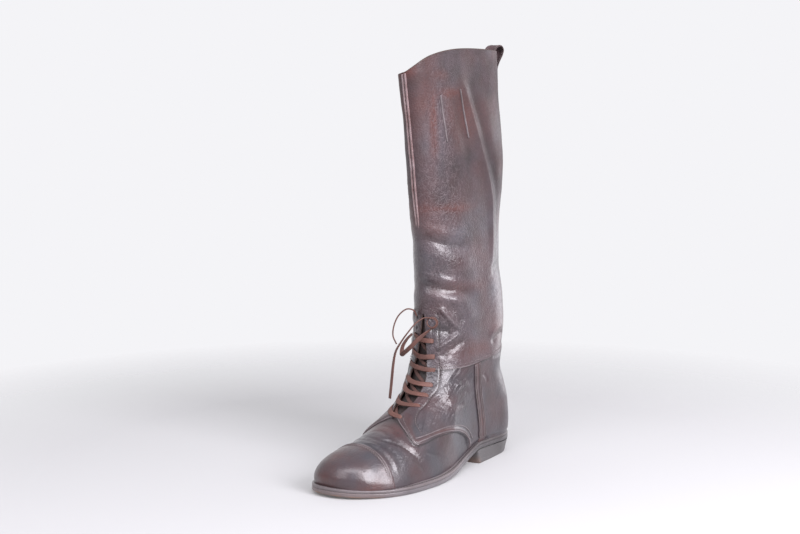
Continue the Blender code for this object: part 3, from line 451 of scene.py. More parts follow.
# Values that vary with the noise: base, swing, waves a metre, seed
MOTTLES = {
    "upper_swell": (0.0, 0.00035, 38.0, 1),
    "shaft_swell": (0.0, 0.0006, 22.0, 2),
    "overlay_swell": (0.0, 0.0003, 45.0, 9),
    "tongue_folds": (0.0, 0.0006, 70.0, 8),
    "red": (0.15, 0.35, 26.0, 5),
    "grey": (0.75, -0.5, 33.0, 7),
    "shaft_dull": (0.8, 0.4, 18.0, 8),
    "upper_dull": (0.0, 0.3, 30.0, 8),
    "overlay_red": (0.0, 0.5, 34.0, 6),
    "overlay_grey": (0.65, -0.6, 34.0, 6),
    "overlay_dull": (0.0, 0.4, 60.0, 7),
    "toe_worn": (0.55, 0.8, 90.0, 3),
    "outsole_grey": (0.8, -0.4, 60.0, 2),
    "welt_grey": (0.7, -0.4, 60.0, 2),
    "heel_grey": (0.8, -0.4, 60.0, 4),
    "piping_red": (0.45, 0.4, 60.0, 3),
}
# Top of the band inside the quarter's edge, fade of the relief above the welt, and the seam up the back
BAND_TOP_Z, BAND_FADE, FEATHER_FADE = 0.075, 0.01, 0.004
BACK_SEAM_DEPTH, BACK_SEAM_WIDTH, BACK_FROM_Y = 0.0006, 0.0010, 0.08
# Ankle seam and collar: their v, how far the seam's stitches stand above it, and the turns along it
SEAM_V, COLLAR_V, SEAM_ROW = 1.0, 2.0, 0.0030
SEAM_TURNS = np.linspace(0.25, 2 * np.pi - 0.25, 500)

# Red of the quarter's band, heights over which the leg turns dull, and the share of its grey, partly a
# painted sheen, lost there
BAND_RED, DULL_FROM_Z, DULL_SPAN, HIGH_GREY_LOSS = 0.35, 0.235, 0.090, 0.75
# Streaked grey patch on the shin, its grey a painted sheen: middle y and z, reach in y and z; what it adds
# and takes
SHIN_PATCH = (0.0010, 0.3700, 0.013, 0.045)
PATCH_GREY, PATCH_RED, PATCH_STREAK, LEG_STREAK = 0.8, 0.3, 0.6, 0.14
# Painted shade: dark lines in creases and grooves, beside the quarter's edge and under the ankle seam
CREASE_SHADE_DEPTH, CREASE_SHADE_MOST, GROOVE_SHADE, EDGE_SHADE = 0.0040, 0.5, 0.6, 0.7
QUARTER_SHADE_OUT, QUARTER_SHADE_WIDTH, QUARTER_SHADE_TOP_Z = 0.0007, 0.0008, 0.072
SEAM_SHADE_BELOW, SEAM_SHADE_WIDTH = 0.0004, 0.0012

# Leather's textures: features a metre and detail of clouds, specks, pores, net and the net's bending noise
CLOUD_SCALE, SPECK_SCALE, PORE_SCALE, NET_SCALE, BEND_SCALE = 55.0, 300.0, 620.0, 230.0, 90.0
CLOUD_DETAIL, SPECK_DETAIL, BEND_DETAIL = 5.0, 4.0, 3.0
CLOUD_RANGE, SPECK_RANGE, STREAK_RANGE, MIDDLE_RANGE = (0.38, 0.62), (0.52, 0.72), (0.36, 0.64), (0.3, 0.7)
BEND_SIZE, NET_SHARE, STREAK_SIZE = 0.016, 0.22, (0.040, 0.040, 0.0046)
# Leather's layers: the most that each shows, and the colours of the last two; the dark layer is painted
# shade, besides the dark lines along the overlays' edges
GREY_MOST, RED_MOST, SPECK_MOST, DARK_MOST, WORN_MOST = 0.9, 0.85, 0.45, 0.85, 0.95
DARK_COLOUR, WORN_COLOUR = (0.008, 0.006, 0.006), (0.26, 0.13, 0.07)
# Leather's surface: how roughness and wax vary, and heights and strengths of its bumps
ROUGH_SWING, DULL_ROUGH, DULL_WAX, COAT_ROUGHNESS, SPECULAR = 0.06, 0.30, 0.1, 0.22, 0.50
PORE_BUMP, NET_BUMP, STREAK_BUMP, NET_STRENGTH, STREAK_STRENGTH = 0.0005, 0.0011, 0.0017, 0.55, 0.90
# Plain materials: share of the colour in the clouds, features a metre of clouds and nap, height of the nap
PLAIN_DEEP, PLAIN_CLOUD_SCALE, NAP_SCALE, THREAD_SCALE, NAP_BUMP = 0.62, 60.0, 700.0, 2500.0, 0.0008

# Walls and overlays: welds, the least open gap, and columns a lining column spans
WALL_WELD, OVERLAY_WELD, OPEN_GAP, LINING_STEP = 2e-5, 1e-6, 1e-4, 2
# Rounding of cut edges, and how fast the columns lose the throat's outline on the way to the back
RIM_STEPS, RIM_ROUND, THROAT_FADE = 7, 0.8, 4
# Overlays: heights, rows and columns, red, rounding of the edges, and the dark line along them
CAP_LIFT, COUNTER_LIFT, STRAP_LIFT = 0.0015, 0.0013, 0.0009
CAP_SHAPE, CAP_CLOSING, COUNTER_SHAPE, STRAP_SHAPE = (80, 150), 1.6, (70, 130), (90, 26)
CAP_RED, COUNTER_RED, STRAP_RED = 0.42, 0.10, 0.55
OVERLAY_ROUNDING, COUNTER_ROUNDING = 0.0010, 0.0050
CAP_LINE, COUNTER_LINE, STRAP_LINE, LINE_REACH = 0.5, 0.15, 0.3, 0.0006

# Stitches: sides, rings, bluntness, the share of a line read for its direction, and how far they stand out
STITCH_SIDES, STITCH_RINGS, STITCH_BLUNT, STITCH_STEP = 6, 4, 0.6, 0.002
STITCH_LIFT, CAP_STITCH_LIFT, SEAM_STITCH_LIFT, SEAM_BEAD_LIFT = 0.00015, 0.0001, 0.0001, -0.0002
# Lines across the toe cap, the part of the quarter's edge with a raised line, and lines up the side straps
CAP_STITCH_BACK, CAP_LINE_POINTS, CAP_LINE_LOW, CAP_LINE_HIGH = 0.0012, 160, 0.001, -1e-6
BEADED_FRONT = QUARTER_EDGE[:6]
STRAP_STITCHES, STRAP_LINE_TOP, STRAP_LINE_POINTS = (-0.72, 0.72), 0.99, 120
STITCH_FOOT, BEAD_FOOT, STRAP_BEAD_SIZE = 0.03, 0.04, 0.8
# Stitches of the welt: place as a share of its width, and how far in at most; samples, lift, pitch and size
WELT_STITCH_SHARE, WELT_STITCH_MOST, WELT_STITCH_SAMPLES = 0.5, 0.0028, 900
WELT_STITCH_LIFT, WELT_STITCH_PITCH, WELT_STITCH_SIZE = 0.00005, 0.0036, 1.25
# Straps with rounded edges: points round the section, and its bluntness across and out
RIBBON_CORNERS, RIBBON_POWERS = 14, (0.35, 0.55)
LOOP_CORNERS, LOOP_POWERS, LOOP_POINTS, LOOP_STITCH_X = 40, (0.25, 0.7), 110, 0.0052
LOOP_RED, LOOP_GREY = 0.4, 0.5

# Lace bars: points, rise, sag, tilt and width, with how they vary from bar to bar; then the other strands
BAR_POINTS, BAR_RISE, BAR_BLUNT, BAR_SINK = 41, 0.0036, 0.30, 0.0010
BAR_SAG, BAR_SAG_BASE, BAR_TILT, BAR_TILT_STEP = 0.010, 0.6, 0.20, 1.3
BAR_WIDTH, BAR_WIDTH_SWING, SLANT_WIDTH, END_THIN = 1.10, 0.10, 0.8, 0.85
SLACK_STEP, SLACK_PLACE = 1.7, (0.3, 0.9)
# How far the faces of the free ends turn from the viewer at each point of their routes, in degrees
LONG_START_TURNS, RING_TURN = (70, 60, 45, 10, 0, 5, 30), 90
LONG_TAIL_TURNS, SHORT_TURN = (90, 88, 84, 78, 70, 62, 58, 58, 58), 84

# Sole: points round it, strips across, shade at waist and heel, wear at the toe, and red
SOLE_POINTS, STRIPS_ACROSS = 420, 9
WAIST_SHADE, WAIST_SPAN, HEEL_SHADE, HEEL_SHADE_SPAN = 0.45, 0.050, 0.20, 0.012
TOE_WEAR_FROM_Y, TOE_WEAR_SPAN, TOE_WEAR_HEIGHT = -0.085, 0.05, 0.0026
TOE_RED, WELT_RED, HEEL_RED = 0.35, 0.15, 0.05
# Inner part of the welt: how far in from the upper's edge, rise; and its least distance from the sole's edge
WELT_INNER = ((-0.0007, 0.0), (0.0002, 0.0006), (0.0040, 0.0008))
WELT_LEAST_INSET = 0.0018
# Heel: points round it, rounding of its corners, lower edge as share of height and inset, then plain levels
HEEL_POINTS, HEEL_CORNER_POWER, HEEL_TAPER_MOST = 300, 3.0, 1 / 3
HEEL_RIM = ((0.0, 0.0040), (0.0, HEEL_EDGE), (0.02, 0.0003), (0.06, 0.0))
HEEL_LEVELS = np.linspace(0.1, 1.0, 34)
# Wear of the heel: at its breast, and along its lowest edge
BREAST_WORN, BREAST_REACH, BREAST_WEAR_Z, BREAST_WEAR_SPAN = 0.30, 0.010, 0.010, 0.008
FOOT_WORN, FOOT_WEAR_Z = 0.2, 0.001
# Insole, tongue and piping
INSOLE_ENDS, INSOLE_SHAPE, INSOLE_DISH = 0.02, (90, 25), 0.0012
TONGUE_SHAPE, TONGUE_CLEARANCE = (90, 41), 0.0008
PIPING_TOP_V, PIPING_POINTS, PIPING_START, PIPING_FINE = 1.997, 260, 3, 0.3

# Lights: name, from the camera or the boot, right, ahead and up from there, height aimed at, size, power
LIGHT_COLOUR = (0.97, 0.94, 1.0)
LIGHTS = (
    ("key", "camera", 1.05, 0.55, 0.45, 0.15, (0.8, 0.8), 34.0),
    ("top", "camera", 0.00, 0.45, 1.00, 0.15, (1.6, 0.6), 17.0),
    ("left", "camera", -1.00, 0.35, 0.60, 0.15, (0.9, 0.9), 9.0),
    ("rim", "boot", 1.30, 1.20, 0.40, 0.2, (0.80, 1.2), 5.5),
)
# Floor, which fades out between two distances, and the brightness behind the viewer and behind the boot
FLOOR_REACH, FLOOR_FADE = 3.0, (0.42, 0.85)
FLOOR_LOOKS = {
    "Base Color": (0.50, 0.50, 0.505, 1.0),
    "Roughness": 0.9,
    "Specular IOR Level": 0.1,
    "Emission Color": (1.0, 1.0, 1.0, 1.0),
    "Emission Strength": 0.09,
}
ROOM_COLOUR, ROOM_TURN, ROOM_BRIGHTNESS = (0.975, 0.972, 1.0, 1.0), (-0.2, 0.7), (0.42, 0.93)


# Curves and tables
def smoothstep(t):
    t = np.clip(t, 0.0, 1.0)
    return t * t * (3.0 - 2.0 * t)


def bell(distance, width):
    return np.exp(-((distance / width) ** 2))


def unit(vectors):
    return vectors / np.maximum(np.linalg.norm(vectors, axis=-1, keepdims=True), TINY)


def spline(points, steps=SPLINE_STEPS):
    """A centripetal Catmull-Rom curve through the points, with this many samples a span."""
    p = np.asarray(points, float)
    p = np.vstack([2 * p[0] - p[1], p, 2 * p[-1] - p[-2]])
    runs = []
    for a, b, c, d in zip(p[:-3], p[1:-2], p[2:-1], p[3:]):
        t1 = np.linalg.norm(b - a) ** 0.5
        t2 = t1 + np.linalg.norm(c - b) ** 0.5
        t3 = t2 + np.linalg.norm(d - c) ** 0.5
        t = np.linspace(t1, t2, steps, endpoint=False)[:, None]
        ab = (t1 - t) / t1 * a + t / t1 * b
        bc = (t2 - t) / (t2 - t1) * b + (t - t1) / (t2 - t1) * c
        cd = (t3 - t) / (t3 - t2) * c + (t - t2) / (t3 - t2) * d
        abc = (t2 - t) / t2 * ab + t / t2 * bc
        bcd = (t3 - t) / (t3 - t1) * bc + (t - t1) / (t3 - t1) * cd
        runs.append((t2 - t) / (t2 - t1) * abc + (t - t1) / (t2 - t1) * bcd)
    return np.vstack(runs + [p[-2:-1]])


def steps_of(line):
    return np.linalg.norm(np.diff(line, axis=0), axis=1)


def share_along(line):
    """Arc length at each point of a line, from 0 to 1."""
    steps = steps_of(line)
    return np.concatenate([[0.0], np.cumsum(steps)]) / steps.sum()


def on_line(line, share, values=None):
    """A line's points, or values that belong to its points, at these shares of its length."""
    at = share_along(line)
    columns = (line if values is None else values).T
    return np.stack([np.interp(share, at, column) for column in columns], -1)


def evenly(line, spacing=LINE_SPACING):
    """The same line with points this far apart."""
    return on_line(line, np.linspace(0, 1, max(int(steps_of(line).sum() / spacing), 3)))


def read(table, at, column):
    """A table's column read by a monotone cubic at values of its first column."""
    rows = np.asarray(table, float)
    x, f = rows[:, 0], rows[:, column]
    h = np.diff(x)
    slope = np.diff(f) / h
    tangent = np.zeros(len(x))
    tangent[0], tangent[-1] = slope[0], slope[-1]
    for k in range(1, len(x) - 1):
        if slope[k - 1] * slope[k] > 0:
            before, after = 2 * h[k] + h[k - 1], h[k] + 2 * h[k - 1]
            tangent[k] = (before + after) / (before / slope[k - 1] + after / slope[k])
    at = np.clip(at, x[0], x[-1])
    i = np.clip(np.searchsorted(x, at, side="right") - 1, 0, len(x) - 2)
    u = (at - x[i]) / h[i]
    return (
        (1 + 2 * u) * (1 - u) ** 2 * f[i]
        + u * (1 - u) ** 2 * h[i] * tangent[i]
        + u * u * (3 - 2 * u) * f[i + 1]
        + u * u * (u - 1) * h[i] * tangent[i + 1]
    )


def rounded(depth, reach, power):
    """0 at an edge and 1 from reach inwards, along a superellipse."""
    t = np.clip(depth / reach, 0.0, 1.0)
    return (1.0 - (1.0 - t) ** power) ** (1.0 / power)


# Form of the last and leg
def sole_half_width(y, side):
    """Half-width of the sole to the lateral (1) or medial (-1) side of its centre."""
    ends = rounded(y - TOE_TIP, TOE_REACH, END_POWER) * rounded(HEEL_TIP - y, HEEL_REACH, END_POWER)
    return read(SOLE_PLAN, y, 2 if side > 0 else 3) * ends


def sole_bottom(y):
    return read(SOLE_BOTTOM, y, 1)


def welt_top(y):
    return sole_bottom(y) + SOLE_THICKNESS + GAP + WELT_THICKNESS


def feather_z(y):
    """Height of the upper's lower edge."""
    return welt_top(y) + FACET_GAP


FRONT = spline(((TOE_FEATHER_Y, float(feather_z(TOE_FEATHER_Y))),) + FRONT_LINE, FORM_STEPS)
BACK = spline(((HEEL_FEATHER_Y, float(feather_z(HEEL_FEATHER_Y))),) + BACK_LINE, FORM_STEPS)
RIDGE = FRONT[np.argmin(FRONT[:, 0]):]
RIDGE_Y = np.maximum.accumulate(RIDGE[:, 0])


def split_at(line, z):
    k = np.argmin(np.abs(line[:, 1] - z))
    return line[: k + 1], line[k:]


FRONT_LOW, FRONT_HIGH = split_at(FRONT, SEAM_FRONT_Z)
BACK_LOW, BACK_HIGH = split_at(BACK, SEAM_BACK_Z)


def fullness(y, z):
    """Share of the widest half-width that a section has at a place in side view."""
    below = np.maximum(np.interp(y, RIDGE_Y, RIDGE[:, 1]) - z, TINY)
    behind = np.maximum(y - np.interp(z, FRONT[:, 1], FRONT[:, 0]), TINY)
    foot = 1.0 - smoothstep((z - RIDGE_FADE_Z) / RIDGE_FADE_SPAN)
    from_front = 1.0 / np.sqrt(foot / below**2 + 1.0 / behind**2)
    from_back = np.maximum(np.interp(z, BACK[:, 1], BACK[:, 0]) - y, 0.0)
    front = rounded(from_front, read(ROUNDING, z, 1), read(ROUNDING, z, 2))
    back = rounded(from_back, read(ROUNDING, z, 3), read(ROUNDING, z, 4))
    return front * back


FOOT_Y = np.linspace(TOE_TIP + FOOT_FROM_TOE, HEEL_TIP - FOOT_FROM_HEEL, FOOT_SAMPLES)
FOOT_FULLNESS = fullness(FOOT_Y, feather_z(FOOT_Y))
FOOT_WIDEST = {
    side: (sole_half_width(FOOT_Y, side) - read(EDGE_INSET, FOOT_Y, 1)) / FOOT_FULLNESS for side in (1, -1)
}


def leg_share(y, z):
    """0 in the foot and 1 in the leg."""
    up = smoothstep((z - LEG_STARTS_Z) / LEG_SPAN_Z)
    back = smoothstep((y - LEG_STARTS_Y) / LEG_SPAN_Y)
    return up * back


def half_width(y, z, side):
    leg = leg_share(y, z)
    foot_widest = np.interp(y, FOOT_Y, FOOT_WIDEST[side])
    leg_widest = read(LEG_WIDTHS, z, 1 if side > 0 else 2)
    return ((1 - leg) * foot_widest + leg * leg_widest) * fullness(y, z)


def by_side(lateral, width, *place):
    """A width to the lateral or the medial side, whichever each place is on."""
    return np.where(lateral, width(*place, 1), width(*place, -1))


def centre_x(y, z):
    return (1 - leg_share(y, z)) * read(SOLE_PLAN, y, 1)


def side_view(v, s, collar_rise):
    """(y, z) at height v (0 sole, 1 ankle seam, 2 collar) and share s from front to back."""
    low, high = np.clip(v, 0, 1), np.clip(v - 1, 0, 1)
    in_foot = (v <= 1)[..., None]
    front = np.where(in_foot, on_line(FRONT_LOW, low), on_line(FRONT_HIGH, high))
    back = np.where(in_foot, on_line(BACK_LOW, low), on_line(BACK_HIGH, high))
    y, z = np.moveaxis(front + (back - front) * s[..., None], -1, 0)
    toe, heel = FRONT_LOW[0], BACK_LOW[0]
    chord_y, chord_z = np.moveaxis(toe + (heel - toe) * s[..., None], -1, 0)
    dip = np.where(v <= 1, low ** DIP_POWERS[0], (1 - high) ** DIP_POWERS[1])
    z = z + (feather_z(chord_y) - chord_z) * (1 - low) ** SOLE_POWER
    z = z - SEAM_DIP * np.sin(np.pi * s) * dip
    z = z + collar_rise * np.sin(np.pi * s**COLLAR_SKEW) * high**COLLAR_POWER
    return y, z


def point(v, theta):
    """Outer surface at height v and turn theta: 0 at the front, positive to the lateral side, pi behind."""
    v, theta = np.broadcast_arrays(np.asarray(v, float), np.asarray(theta, float))
    theta = (theta + np.pi) % (2 * np.pi) - np.pi
    lateral = theta >= 0
    s = (1 - np.cos(theta)) / 2
    y, z = side_view(v, s, np.where(lateral, COLLAR_RISE_LATERAL, COLLAR_RISE_MEDIAL))
    x = centre_x(y, z) + np.where(lateral, 1, -1) * by_side(lateral, half_width, y, z)
    return np.stack([x, y, z], -1)


def on_form(y, z, side):
    """Places of the form's surface on one side, from their side view."""
    y, z = np.broadcast_arrays(np.asarray(y, float), np.asarray(z, float))
    return np.stack([centre_x(y, z) + side * half_width(y, z, side), y, z], -1)


def across_front(y, z):
    """A line over the front, from the medial side to the lateral; y and z run from the ridge outwards."""
    return np.vstack([on_form(y, z, -1)[::-1], on_form(y, z, 1)[1:]])


def form_normals(p):
    """Outward normals of the form at points of its surface."""
    lateral = p[..., 0] >= centre_x(p[..., 1], p[..., 2])

    def level(q):
        x, y, z = np.moveaxis(q, -1, 0)
        return (x - centre_x(y, z)) ** 2 - by_side(lateral, half_width, y, z) ** 2

    moves = NORMAL_STEP * np.eye(3)
    return unit(np.stack([level(p + move) - level(p - move) for move in moves], -1))


def height_at_front(z):
    """The v whose front point has this height."""
    low = np.interp(z, FRONT_LOW[:, 1], share_along(FRONT_LOW))
    high = 1 + np.interp(z, FRONT_HIGH[:, 1], share_along(FRONT_HIGH))
    return np.where(z <= SEAM_FRONT_Z, low, high)


def front_z(v):
    low = on_line(FRONT_LOW, np.clip(v, 0, 1))[..., 1]
    high = on_line(FRONT_HIGH, np.clip(v - 1, 0, 1))[..., 1]
    return np.where(v <= 1, low, high)


def turns_at(v, wanted, side, turns, measure):
    """For each height v, the turn at which a measure of the surface comes to the wanted value."""
    found = [np.interp(value, measure(point(row, side * turns)), turns) for row, value in zip(v, wanted)]
    return side * np.array(found)


def turn_at_half_width(v, half, side):
    """The turns at which the surface at heights v is this far from its centre."""
    return turns_at(v, half, side, TO_SIDE, lambda p: np.maximum.accumulate(np.abs(p[:, 0] - p[0, 0])))


def turn_at_y(v, y, side):
    """The turns at which the surface at heights v lies at this y."""
    return turns_at(v, y, side, TO_BACK, lambda p: p[:, 1])


def throat_half_gap(v, side):
    return read(THROAT, front_z(v), 1 if side > 0 else 2)


def throat_turn(v, side, beyond=0.0):
    """The turns of the throat's edge at heights v, or of places this far beyond it."""
    return turn_at_half_width(v, throat_half_gap(v, side) + beyond, side)


def outline(inset, count):
    """The sole's outline moved in by a length that may depend on y, as a closed loop of (x, y)."""
    turn = np.linspace(0, 2 * np.pi, count, endpoint=False)
    y = -SOLE_LENGTH / 2 * np.cos(turn)
    lateral = turn <= np.pi
    widths = np.where(lateral, 1, -1) * by_side(lateral, sole_half_width, y)
    loop = np.stack([read(SOLE_PLAN, y, 1) + widths, y], -1)
    along = np.roll(loop, -1, axis=0) - np.roll(loop, 1, axis=0)
    inwards = unit(np.stack([-along[:, 1], along[:, 0]], -1))
    return loop + inwards * np.broadcast_to(inset(y), y.shape)[:, None]


def frame_shift():
    """From the form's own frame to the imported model's."""
    low, high = (np.array(corner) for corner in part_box("outsole"))
    loop = outline(lambda y: 0.0, OUTLINE_SAMPLES)
    middle = (loop.min(axis=0) + loop.max(axis=0)) / 2
    return np.array([*((low + high)[:2] / 2 - middle), 0.0])


# Relief of the skins
def crease_lines(where, table):
    """The lines in space of one row of a crease table."""
    fine = spline(table, CREASE_STEPS)
    if where == "cross":
        return [evenly(across_front(*fine.T))]
    sides = {"lateral": (1,), "medial": (-1,), "both": (1, -1)}[where]
    return [evenly(on_form(*fine.T, side)) for side in sides]


def creased(p, table):
    """Height that a table's creases add at points p: troughs and ridges that fade towards their ends."""
    total = np.zeros(len(p))
    for where, width, height, line_table in table:
        reach = CREASE_REACH * width
        for line in crease_lines(where, line_table):
            near = np.flatnonzero(((p > line.min(0) - reach) & (p < line.max(0) + reach)).all(1))
            if not len(near):
                continue
            square = ((p[near, None] - line[None]) ** 2).sum(-1)
            share = square.argmin(1) / (len(line) - 1)
            fade = smoothstep(share / CREASE_FADE) * smoothstep((1 - share) / CREASE_FADE)
            if where == "cross":
                fade *= 1 - MEDIAL_CALM * smoothstep((CALM_FROM_X - p[near, 0]) / CALM_SPAN)
            total[near] += height * fade * np.exp(-square.min(1) / width**2)
    return total


def waves(p, scale, seed, octaves=3):
    """Smooth noise of about -1 to 1 at points p, with this many waves a metre."""
    start = Vector(NOISE_STEP) * seed
    return np.array([noise.fractal(Vector(q) + start, OCTAVE_FADE, OCTAVE_RATIO, octaves)
                     for q in (p * scale).tolist()])


def mottled(p, key):
    """One of the values that vary with the noise, at points p."""
    base, swing, scale, seed = MOTTLES[key]
    return base + swing * waves(p, scale, seed)


def crinkled(p, skin):
    """Height of a skin's fine crinkles at points p."""
    total = np.zeros(len(p))
    for seed, (name, y, z, along, across, height, few, many, slope) in enumerate(CRINKLES, CRINKLE_SEED):
        if name != skin:
            continue
        turn = np.radians(slope)
        dy, dz = p[:, 1] - y, p[:, 2] - z
        run, rise = dy * np.cos(turn) + dz * np.sin(turn), dz * np.cos(turn) - dy * np.sin(turn)
        zone = bell(run, along) * bell(rise, across)
        near = np.flatnonzero(zone > CRINKLE_LEAST)
        place = np.stack([run * few, rise * many, p[:, 0] * few], -1)[near]
        folds = 1.0 - 2.0 * np.abs(waves(place, 1.0, seed, octaves=2))
        total[near] += height * zone[near] * np.clip(folds, -1.0, 1.0) ** CRINKLE_POWER
    return total


def inside_distance(y, z, corners):
    """Distance to a closed outline in side view, positive inside it."""
    nearest, inside = np.full(len(y), np.inf), np.zeros(len(y), bool)
    for (ay, az), (by, bz) in zip(corners, np.roll(corners, -1, axis=0)):
        ey, ez = by - ay, bz - az
        t = np.clip(((y - ay) * ey + (z - az) * ez) / (ey * ey + ez * ez), 0, 1)
        nearest = np.minimum(nearest, np.hypot(y - ay - t * ey, z - az - t * ez))
        crosses = (az > z) != (bz > z)
        inside ^= crosses & (y < ey * (z - az) / np.where(ez == 0, TINY, ez) + ay)
    return np.where(inside, nearest, -nearest)


def quarter_depth(p):
    corners = np.vstack([evenly(spline(QUARTER_EDGE), EDGE_SPACING), QUARTER_REST])
    return inside_distance(p[:, 1], p[:, 2], corners)


def quarter_band(p):
    """1 along the middle of the band inside the quarter's edge, in its low part."""
    low = smoothstep((BAND_TOP_Z - p[:, 2]) / BAND_FADE)
    return bell(quarter_depth(p) - BAND_MIDDLE, BAND_REACH) * low


def eyelet_places(heights, side):
    rows = height_at_front(np.asarray(heights))
    return rows, throat_turn(rows, side, EYELET_FROM_EDGE)


def punched(p):
    """1 at the middle of an eyelet and 0 outside it."""
    total = np.zeros(len(p))
    for side in (1, -1):
        for place in point(*eyelet_places(EYELET_HEIGHTS[side] + UNLACED_HEIGHTS, side)):
            total += bell(((p - place) ** 2).sum(1), EYELET_RADIUS**2)
    return np.clip(total, 0, 1)


def toe_flare(p):
    """How far the toe's wall spreads towards the welt."""
    low = smoothstep((feather_z(p[:, 1]) + FLARE_HEIGHT - p[:, 2]) / FLARE_HEIGHT)
    return TOE_FLARE * low * smoothstep((FLARE_FROM_Y - p[:, 1]) / FLARE_SPAN)


def seam_height(p):
    """Height above the ankle seam."""
    y, z = side_view(np.full(SEAM_SAMPLES, SEAM_V), np.linspace(0, 1, SEAM_SAMPLES), np.zeros(SEAM_SAMPLES))
    return p[:, 2] - np.interp(p[:, 1], y, z)


def use_relief(p, skin):
    """Creases, crinkles, swells and stitch grooves of a skin."""
    height = creased(p, CREASES[skin]) + crinkled(p, skin) + mottled(p, skin + "_swell")
    return height - GROOVE_INTO_SKIN * creased(p, FACING_GROOVES)


def upper_relief(p):
    lap = smoothstep(quarter_depth(p) / QUARTER_EDGE_WIDTH + 0.5)
    height = QUARTER_LIFT * lap + BAND_PUFF * quarter_band(p) + use_relief(p, "upper")
    height *= smoothstep((p[:, 2] - feather_z(p[:, 1])) / FEATHER_FADE)
    return height + toe_flare(p) - EYELET_DEPTH * punched(p)


def shaft_relief(p):
    lap = LAP_LIFT * np.exp(-np.maximum(seam_height(p), 0.0) / LAP_FADE)
    back_seam = BACK_SEAM_DEPTH * bell(p[:, 0], BACK_SEAM_WIDTH) * (p[:, 1] > BACK_FROM_Y)
    return lap + use_relief(p, "shaft") - back_seam - EYELET_DEPTH * punched(p)


def no_relief(p):
    return np.zeros(len(p))


def on_skin(p, relief, lift=0.0):
    """Points of the form moved out onto a skin, and their normals."""
    normals = form_normals(p)
    return p + normals * (relief(p) + lift)[:, None], normals


def skin_line(table, side, relief, lift=STITCH_LIFT):
    """A smooth line through a table of (y, z) on one side of a skin, and its normals."""
    return on_skin(evenly(on_form(*evenly(spline(table)).T, side)), relief, lift)


# Paint of the skins
def spot(p, y, z, reach_y, reach_z):
    return bell(p[:, 1] - y, reach_y) * bell(p[:, 2] - z, reach_z)


def amount_of(p, areas, skin):
    """How much of some listed areas there is at points p."""
    return sum(row[-1] * spot(p, *row[1:-1]) for row in areas if row[0] == skin)


def looks_of(p, skin):
    """Shares of red, grey, dullness, fine wrinkles and streaks at points p of a skin; on the leg the grey is
    partly a painted sheen, strongest low down.
    """
    red = mottled(p, "red") + amount_of(p, RED_AREAS, skin)
    grey, dull = mottled(p, "grey"), mottled(p, skin + "_dull")
    fine = streak = amount_of(p, WRINKLED, skin)
    if skin == "shaft":
        high = smoothstep((p[:, 2] - DULL_FROM_Z) / DULL_SPAN)
        patch = (p[:, 0] > 0) * spot(p, *SHIN_PATCH)
        red = red - PATCH_RED * patch
        grey = grey * (1.0 - HIGH_GREY_LOSS * high) + PATCH_GREY * patch
        dull = high * dull
        streak = LEG_STREAK * fine + PATCH_STREAK * patch
    else:
        red = red + BAND_RED * quarter_band(p)
    net = NET_LEAST + NET_MOST[skin] * fine
    return {"red": red, "grey": grey, "dull": dull, "fine": net, "streak": streak}


# Materials
def new_material(name):
    material = bpy.data.materials.new(name)
    material.use_nodes = True
    return material, material.node_tree, material.node_tree.nodes["Principled BSDF"]


def feed(tree, socket, value):
    """Links a socket to an output, or sets it to a plain value."""
    if isinstance(value, bpy.types.NodeSocket):
        tree.links.new(value, socket)
    else:
        socket.default_value = value


def add_node(tree, kind, settings=(), **inputs):
    """A shader node with its settings; its inputs go by name, or by number as _0 or _1."""
    made = tree.nodes.new("ShaderNode" + kind)
    for key, value in dict(settings).items():
        setattr(made, key, value)
    for key, value in inputs.items():
        feed(tree, made.inputs[int(key[1:]) if key[0] == "_" else key.replace("_", " ")], value)
    return made


def texture(tree, place, scale, detail, **inputs):
    return add_node(tree, "TexNoise", Vector=place, Scale=scale, Detail=detail, **inputs)


def maths(tree, kind, operation, **inputs):
    return add_node(tree, kind, {"operation": operation}, **inputs).outputs[0]


def mixed(tree, share, *colours):
    """A colour between two, each a socket or a plain colour."""
    first, second = (c if isinstance(c, bpy.types.NodeSocket) else (*c, 1.0) for c in colours)
    return add_node(tree, "Mix", {"data_type": "RGBA"}, _0=share, _6=first, _7=second).outputs[2]


def ramp(tree, value, low, high, to_low=0.0, to_high=1.0):
    limits = {"From_Min": low, "From_Max": high, "To_Min": to_low, "To_Max": to_high}
    return add_node(tree, "MapRange", {"clamp": True}, Value=value, **limits).outputs["Result"]


